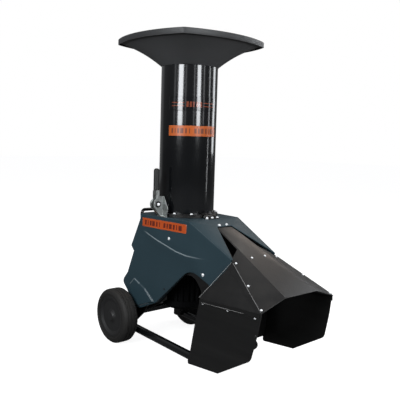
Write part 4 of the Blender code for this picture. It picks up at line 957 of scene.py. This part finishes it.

# %% [markdown]
# ## Laps and painted highlights of the hood
# Where two sheets of the hood meet, one is folded down over the other, and the rivets go through that lap. The
# lap's lower edge and the folds each get a pale bead, a painted highlight for the line of light they catch. A
# lap is a thin strip carried along its seam, and a highlighted fold is a fine pale bead along it, half sunk in
# the sheet. The same strip makes the narrow plates that show behind the arches.

# %% Hood laps
# Painted highlight: a pale finish for the beads that stand for the line of light along folds and lap edges.
PAINTED_HIGHLIGHT_FINISH = coat("painted_highlight_edge", (0.06, 0.06, 0.06), (0.45, 0.44, 0.43), 0.34, peel=0.3, dust=0.05, wear=0.0)
SIDE_LEAN, BEAD_R, LAP_THICK = 0.063, 0.0007, 0.0009
SEAM_ENDS, LAP_FOOT_ENDS = ((0.2795, 0.2610), (0.530, 0.2735)), ((0.288, 0.2503), (0.470, 0.2594))
FOLD_ENDS = (("ridge", ((0.352, 0.1019, 0.3778), (0.5320, 0.1667, 0.2782))),
             ("shoulder", ((0.2755, 0.1690, 0.2628), (0.3455, 0.1010, 0.3790))))
SKIRT_ENDS, SKIRT_Y = ((-0.070, 0.1500), (0.035, 0.2125)), 0.1061


def on_hood_side(ends, sign, lift):
    """Spots over the hood's side sheet, whose plane is y = 0.186 - lean * z."""
    return [(x, sign * (0.186 - SIDE_LEAN * z + lift), z) for x, z in ends]


def lap_strip(name, ends, down, facing, width):
    """A strip from a seam: its section is a flat bar, rounded at the free edge and closed at both ends."""
    half = LAP_THICK / 2
    turn = np.linspace(np.pi / 2, -np.pi / 2, 7)
    tip = np.stack([width - half + half * np.cos(turn), half + half * np.sin(turn)], 1)
    section = np.concatenate([[(0, LAP_THICK)], tip, [(0, 0)]])
    run = with_ends(np.linspace(*ends, 40))
    size = np.ones(len(run))
    size[[0, -1]] = 0
    middle = section.mean(0)
    spread = middle + (section - middle) * size[:, None, None]
    down, facing = units(np.array([down, facing]))
    points = run[:, None] + spread[..., :1] * down + spread[..., 1:] * facing
    quads = grid_faces(len(run), len(section), False, True)
    mesh = finish_mesh(mesh_from_arrays(name, points, quads), 30)
    piece(name, shifted(mesh), SHEET, "chassis")


def bead(name, ends, steps):
    """A fine round bead between two spots, in the pale painted-highlight finish."""
    mesh = swept(name, np.linspace(*ends, steps), BEAD_R, 10)
    piece(name, mesh, PAINTED_HIGHLIGHT_FINISH, "chassis")


for side, sign in SIDES:
    down, out = (0.0, SIDE_LEAN * sign, -1.0), (0.0, sign, SIDE_LEAN)
    lap_strip(f"hood_lap_{side}", on_hood_side(SEAM_ENDS, sign, 0.0001), down, out, 0.0115)
    bead(f"hood_lap_bead_{side}", on_hood_side(LAP_FOOT_ENDS, sign, LAP_THICK), 40)
    for stem, ends in FOLD_ENDS:
        bead(f"hood_{stem}_bead_{side}", [(x, sign * (y + 0.0004), z + 0.0004) for x, y, z in ends], 60)
    skirt = [(x, sign * SKIRT_Y, z) for x, z in SKIRT_ENDS]
    lap_strip(f"arch_skirt_{side}", skirt, (0.0, 0.0, -1.0), (0.0, sign, 0.0), 0.0200)
print("laps done")

# %% [markdown]
# ## Rivets, screws and bolts
# The hood is held together by blind rivets, whose heads are low domes with a dimple where the pin broke off.
# The covers are held by pan screws with a socket, and the hinge and the flange by small hexagon bolts. The
# clamp's lever turns on a pin with a black washer under a bright domed head. A head is a profile turned about
# the way that the sheet under it faces, and all the heads of a kind are one mesh.

# %% Fasteners
RIVET = [(0, 0.0012, 0), (0.0009, 0.0012, 0), (0.0012, 0.0020, 0), (0.0018, 0.0022, 0), (0.0027, 0.0019, 0),
         (0.0034, 0.0012, 0), (0.0038, 0.0004, 0), (0.0038, -0.0005, 0), (0, -0.0005, 0)]
SCREW = [(0, 0.0012, 1), (0.0014, 0.0012, 1), (0.0015, 0.0028, 1), (0.0022, 0.0030, 0), (0.0032, 0.0026, 0),
         (0.0040, 0.0017, 0), (0.0043, 0.0008, 0), (0.0052, 0.0007, 0), (0.0053, 0.0001, 0),
         (0.0053, -0.0006, 0), (0, -0.0006, 0)]
BOLT_HEAD = [(0, 0.0036, 0), (0.0032, 0.0036, 0), (0.0036, 0.0033, 1), (0.0038, 0.0031, 1),
             (0.0038, 0.0010, 1), (0.0050, 0.0009, 0), (0.0052, 0.0006, 0), (0.0052, -0.0006, 0),
             (0, -0.0006, 0)]
WASHER = [(0, 0.0011, 0), (0.0108, 0.0011, 0), (0.0112, 0.0007, 0), (0.0112, 0.0001, 0), (0, 0.0001, 0)]
PIN_HEAD = [(0, 0.0046, 0), (0.0030, 0.0043, 0), (0.0052, 0.0030, 0), (0.0060, 0.0012, 0), (0.0060, 0, 0),
            (0, 0, 0)]
HOOD_SEAMS = [("hood_top", [(0.3581, 0.0941, 0.3779), (0.4445, 0.1275, 0.3293), (0.5291, 0.1600, 0.2818)]),
              ("hood_side", [(0.2895, 0.1705, 0.2465), (0.4000, 0.1702, 0.2513), (0.5117, 0.1699, 0.2555)])]
FLANGE_BOLT_REACH, FLANGE_BOLT_TURNS = 0.1073, (-62, -30, 45, 75, 135, 180, 225)
LEVER_PIN_Y, LEVER_PIN_Z = -0.142, 0.529


def seat(solid, spots):
    """The nearest point of a solid's surface to each spot, and the way the surface faces there."""
    form, shift = nodes[solid].data, Vector((AXIS_X, 0, 0))
    tree = BVHTree.FromPolygons([v.co for v in form.vertices], [p.vertices[:] for p in form.polygons])
    found = [tree.find_nearest(Vector(spot) + shift) for spot in spots]
    return [place - shift for place, *_ in found], [way for _, way, *_ in found]


def heads(name, spots, facing, profile, body, material=BOLT, steps=24):
    """Turned heads at many spots: place + reach * (side cos a + up sin a) + height * facing.

    A row is a reach, a height and a shape; shape 1 is a hexagon, whose reach is divided by cos of the angle
    from the middle of its flat.
    """
    profile, spots, facing = np.array(profile, float), np.array(spots, float), units(np.array(facing, float))
    side = units(np.cross(np.where(np.abs(facing[:, 2:]) < 0.9, (0.0, 0.0, 1.0), (1.0, 0.0, 0.0)), facing))
    angle = np.linspace(0, 2 * np.pi, steps, endpoint=False)
    flats = 1 / np.cos(angle % (np.pi / 3) - np.pi / 6)
    reach = profile[:, :1] * np.where(profile[:, 2:] > 0, flats, 1.0)
    ring = rings(side, np.cross(facing, side), steps)
    points = (spots[:, None, None] + ring[:, None] * reach[..., None]
              + facing[:, None, None] * profile[:, 1, None, None])
    quads = grid_faces(len(profile), steps, False, True)
    first = np.arange(len(spots))[:, None, None] * len(profile) * steps
    mesh = finish_mesh(mesh_from_arrays(name, points, (quads + first).reshape(-1, 4)), 32, 1e-7)
    piece(name, shifted(mesh), material, body)
    print(name, len(spots))


def on_cover(places, sign, lift=0.0):
    """Places on a side cover from (x, z) pairs, with the way the plane faces."""
    x, z = np.array(places, float).T
    y = body_half(x) + cover_rise(x, z) + lift
    return np.stack([x, sign * y, z], 1), np.repeat([[0.075, sign, 0.0]], len(x), 0)


for side, sign in SIDES:
    spots, ways = [], []
    for stem, places in HOOD_SEAMS:
        sheet = stem if stem in nodes else f"{stem}_{side}"
        found = seat(sheet, [(x, sign * y, z) for x, y, z in places])
        spots, ways = spots + found[0], ways + found[1]
    heads(f"hood_rivets_{side}", spots, ways, RIVET, "chassis")
    low_pin = seat(f"hood_side_{side}", [(0.5190, sign * 0.1731, 0.2050)])
    heads(f"hood_low_rivet_{side}", *low_pin, RIVET, "chassis", SHEET)
    heads(f"cover_screws_{side}", *on_cover([(0.061, 0.4146), (0.2247, 0.3173)], sign), SCREW, "chassis")
    heads(f"cover_pin_{side}", *on_cover([(0.041, 0.2325)], sign), RIVET, "chassis", SHEET)
for name, solid, profile, places in (
        ("hood_top_rivets", "hood_top", RIVET, [(0.3640, y, 0.389) for y in (-0.030, 0.030)]),
        ("deck_lip_bolts", "deck_plate", BOLT_HEAD, [(0.198, y, 0.4768) for y in (-0.0168, 0.0168)]),
        ("hinge_bolts", "hinge_leaf_lower", BOLT_HEAD, [(0.1415, y, 0.4880) for y in (-0.028, 0.0, 0.028)])):
    heads(name, *seat(solid, places), profile, "chassis")
turns = np.radians(FLANGE_BOLT_TURNS)
circle = [(FLANGE_BOLT_REACH * np.cos(a), FLANGE_BOLT_REACH * np.sin(a), 0.4945) for a in turns]
heads("flange_bolts", *seat("tube_flange", circle), BOLT_HEAD, "feed_tube")
heads("clamp_washer", [(0.0188, LEVER_PIN_Y, LEVER_PIN_Z)], [(1, 0, 0)], WASHER, "chassis", SHEET, 48)
heads("clamp_pin_head", [(0.0196, LEVER_PIN_Y, LEVER_PIN_Z)], [(1, 0, 0)], PIN_HEAD, "chassis", steps=32)

# %% [markdown]
# ## Labels without words
# Labels are thin printed film. Each one is a grid whose rows follow a rounded rectangle, laid on the tube's
# cylinder or on the pressed cover. Where a maker would print words, these carry plain bars of uneven width.
# The print is worked out from the label's own u and v, so that it stays on it.

# %% Labels
FILM_LIFT, FILM_CORNER = 0.00025, 0.003
ORANGE, DEEP_ORANGE, PAPER = (0.54, 0.088, 0.018), (0.46, 0.072, 0.014), (0.5, 0.42, 0.36)
WORD = [0.06, 0.10, 0.13, 0.15, 0.18, 0.22, 0.24, 0.30, 0.33, 0.36, 0.40, 0.42, 0.50, 0.54, 0.57, 0.60, 0.62,
        0.68, 0.71, 0.75, 0.78, 0.80, 0.83, 0.90]
TWO_WORDS = [0.06, 0.30, 0.66, 0.94]
SMALL_WORD = [0.34, 0.38, 0.40, 0.44, 0.46, 0.49, 0.52, 0.56, 0.58, 0.63]


def film_grid(width, height, rows, columns):
    """A rounded rectangle as a grid: w(v) = W - r + sqrt(r^2 - (|v| - H + r)^2) near the ends, else W."""
    half_w, half_h = width / 2, height / 2
    v = half_h * np.sin(np.linspace(-np.pi / 2, np.pi / 2, rows))
    past = np.maximum(np.abs(v) - (half_h - FILM_CORNER), 0)
    reach = half_w - FILM_CORNER + np.sqrt(np.maximum(FILM_CORNER ** 2 - past ** 2, 0))
    u = reach[:, None] * np.linspace(-1, 1, columns)[None]
    return u, np.repeat(v[:, None], columns, 1)


def film_piece(name, u, v, places, size, material, body):
    """The film's mesh with its u and v from 0 to 1, given the least thickness that a film has."""
    quads = grid_faces(*u.shape, False, False)
    mesh = mesh_from_arrays(name, places, quads)
    share = np.stack([u / size[0] + 0.5, v / size[1] + 0.5], -1).reshape(-1, 2)
    layer = mesh.uv_layers.new(name="print")
    layer.data.foreach_set("uv", share[quads.ravel()].astype(np.float32).ravel())
    mesh.shade_smooth()
    made = piece(name, shifted(mesh), material, body)
    thin = made.modifiers.new("film", "SOLIDIFY")
    thin.thickness, thin.offset = 0.0002, -1.0


def tube_film(name, middle, span, low, high, material):
    """Film on the tube: u turns about the axis and v is the height."""
    size = np.radians(span) * TUBE_R, high - low
    u, v = film_grid(*size, 13, 97)
    angle = np.radians(middle) + u / TUBE_R
    reach = TUBE_R + FILM_LIFT
    places = np.stack([reach * np.cos(angle), reach * np.sin(angle), (low + high) / 2 + v], -1)
    film_piece(name, u, v, places, size, material, "feed_tube")


def cover_film(name, sign, left, right, low, high, material):
    """Film on a side cover: it follows the pressed sheet's own height."""
    size = right - left, high - low
    u, v = film_grid(*size, 15, 75)
    x, z = (left + right) / 2 + u * -sign, (low + high) / 2 + v
    places, _ = on_cover(np.stack([x.ravel(), z.ravel()], 1), sign, FILM_LIFT)
    film_piece(name, u, v, places, size, material, "chassis")


def bars(tree, across, stops):
    """A mask of upright bars: a stepped ramp that changes at each stop."""
    made = new_node(tree, "ValToRGB", in_0=across)
    made.color_ramp.interpolation = "CONSTANT"
    steps = made.color_ramp.elements
    steps.remove(steps[1])
    steps[0].color = (0, 0, 0, 1)
    for count, stop in enumerate(stops):
        steps.new(stop).color = (1, 1, 1, 1) if count % 2 == 0 else (0, 0, 0, 1)
    return made.outputs[0]


def band(tree, up, low, high):
    """A mask that is 1 between two heights."""
    return flow(tree, "Math", operation="COMPARE", in_0=up, in_1=(low + high) / 2, in_2=(high - low) / 2)


def print_film(name, ground, second, ink, marks, gloss=0.30, wear=0.25, **values):
    """Printed film: a ground of two close colours, inked where any of the marks is, over a fine grain."""
    made, tree, place = start_finish(name, **values)
    where = new_node(tree, "SeparateXYZ", in_0=flow(tree, "UVMap", uv_map="print")).outputs
    clouds = noise(tree, place, 40.0, 4.0, 0.5)
    colour = mix_colour(tree, clouds, ground, second)
    for low, high, stops in marks:
        mask = times(tree, bars(tree, where["X"], stops), band(tree, where["Y"], low, high))
        colour = mix_colour(tree, mask, colour, ink)
    edge = use_group(tree, WEAR, place, Amount=wear, Width=0.0008)["Mask"]
    rough = mix_value(tree, clouds, gloss - 0.06, gloss + 0.08)
    skin = use_group(tree, PEEL, place, Size=0.003, Depth=0.10)["Normal"]
    surface(tree, mix_colour(tree, edge, colour, PAPER), rough, skin)
    return made


TUBE_FILM = print_film("tube_film", (0.50, 0.108, 0.018), (0.44, 0.092, 0.015), (0.16, 0.040, 0.018),
                       [(0.26, 0.74, WORD)])
COVER_FILM = print_film("cover_film", ORANGE, DEEP_ORANGE, (0.13, 0.020, 0.012), [(0.20, 0.76, WORD)])
UPPER_FILM = print_film("upper_film", BLACK, SOFT_BLACK, (0.19, 0.045, 0.022),
                        [(0.53, 0.59, TWO_WORDS), (0.30, 0.36, TWO_WORDS), (0.26, 0.64, SMALL_WORD)],
                        gloss=0.14, wear=0.0, Coat_Weight=0.4, Coat_Roughness=0.06)
tube_film("tube_label", -28, 108, 0.766, 0.8014, TUBE_FILM)
tube_film("tube_upper_label", -28, 108, 0.852, 0.9004, UPPER_FILM)
for side, sign in SIDES:
    cover_film(f"cover_label_{side}", sign, -0.082, 0.143, 0.4415, 0.4720, COVER_FILM)
print("labels done")

# %% [markdown]
# ## A painted shadow beside the deck's lip
# A narrow black wedge of shade lies between the deck's lip and the hood's top, and a near-black film on each
# side paints it. It is a film between two lines that start near one place and part at different angles, with
# the places between them shared out evenly, laid on the plane of the hood's top. Its finish mirrors nothing,
# so it shows as painted shadow.

# %% Painted shadows beside the lip
SHADOW_START, SHADOW_OUTER_RUN, SHADOW_INNER_RUN = 0.2116, (0.1219, 0.0500), (0.1050, 0.0130)
SHADOW_OUTER_Y, SHADOW_INNER_Y = 0.0352, 0.0372
# Painted shadow: a near-black film that mirrors nothing, standing for the shade under the deck's lip.
LIP_SHADOW_FINISH = coat("lip_shadow_film", (0.0006, 0.0006, 0.0006), (0.0010, 0.0010, 0.0010), 0.85, dust=0.0, wear=0.0,
            Specular_IOR_Level=0.0)


def make_lip_shadow(side, sign):
    """Each place is outer + (inner - outer) * across, and z is the hood top's plane with a small lift."""
    along, across = np.meshgrid(np.linspace(0, 1, 41), np.linspace(0, 1, 9), indexing="ij")
    outer_x, inner_x = (SHADOW_START + run[0] * along for run in (SHADOW_OUTER_RUN, SHADOW_INNER_RUN))
    outer_y, inner_y = SHADOW_OUTER_Y + SHADOW_OUTER_RUN[1] * along, SHADOW_INNER_Y + SHADOW_INNER_RUN[1] * along
    x, y = outer_x + (inner_x - outer_x) * across, outer_y + (inner_y - outer_y) * across
    z = (0.49443 - 0.375 * x - 0.282 * y) / 0.883 + 0.0004
    places = np.stack([x, sign * y, z], -1)[:, ::-sign]
    film_piece(f"hood_lip_shadow_{side}", along - 0.5, across - 0.5, places, (1.0, 1.0), LIP_SHADOW_FINISH, "chassis")


for side, sign in SIDES:
    make_lip_shadow(side, sign)
print("seals done")
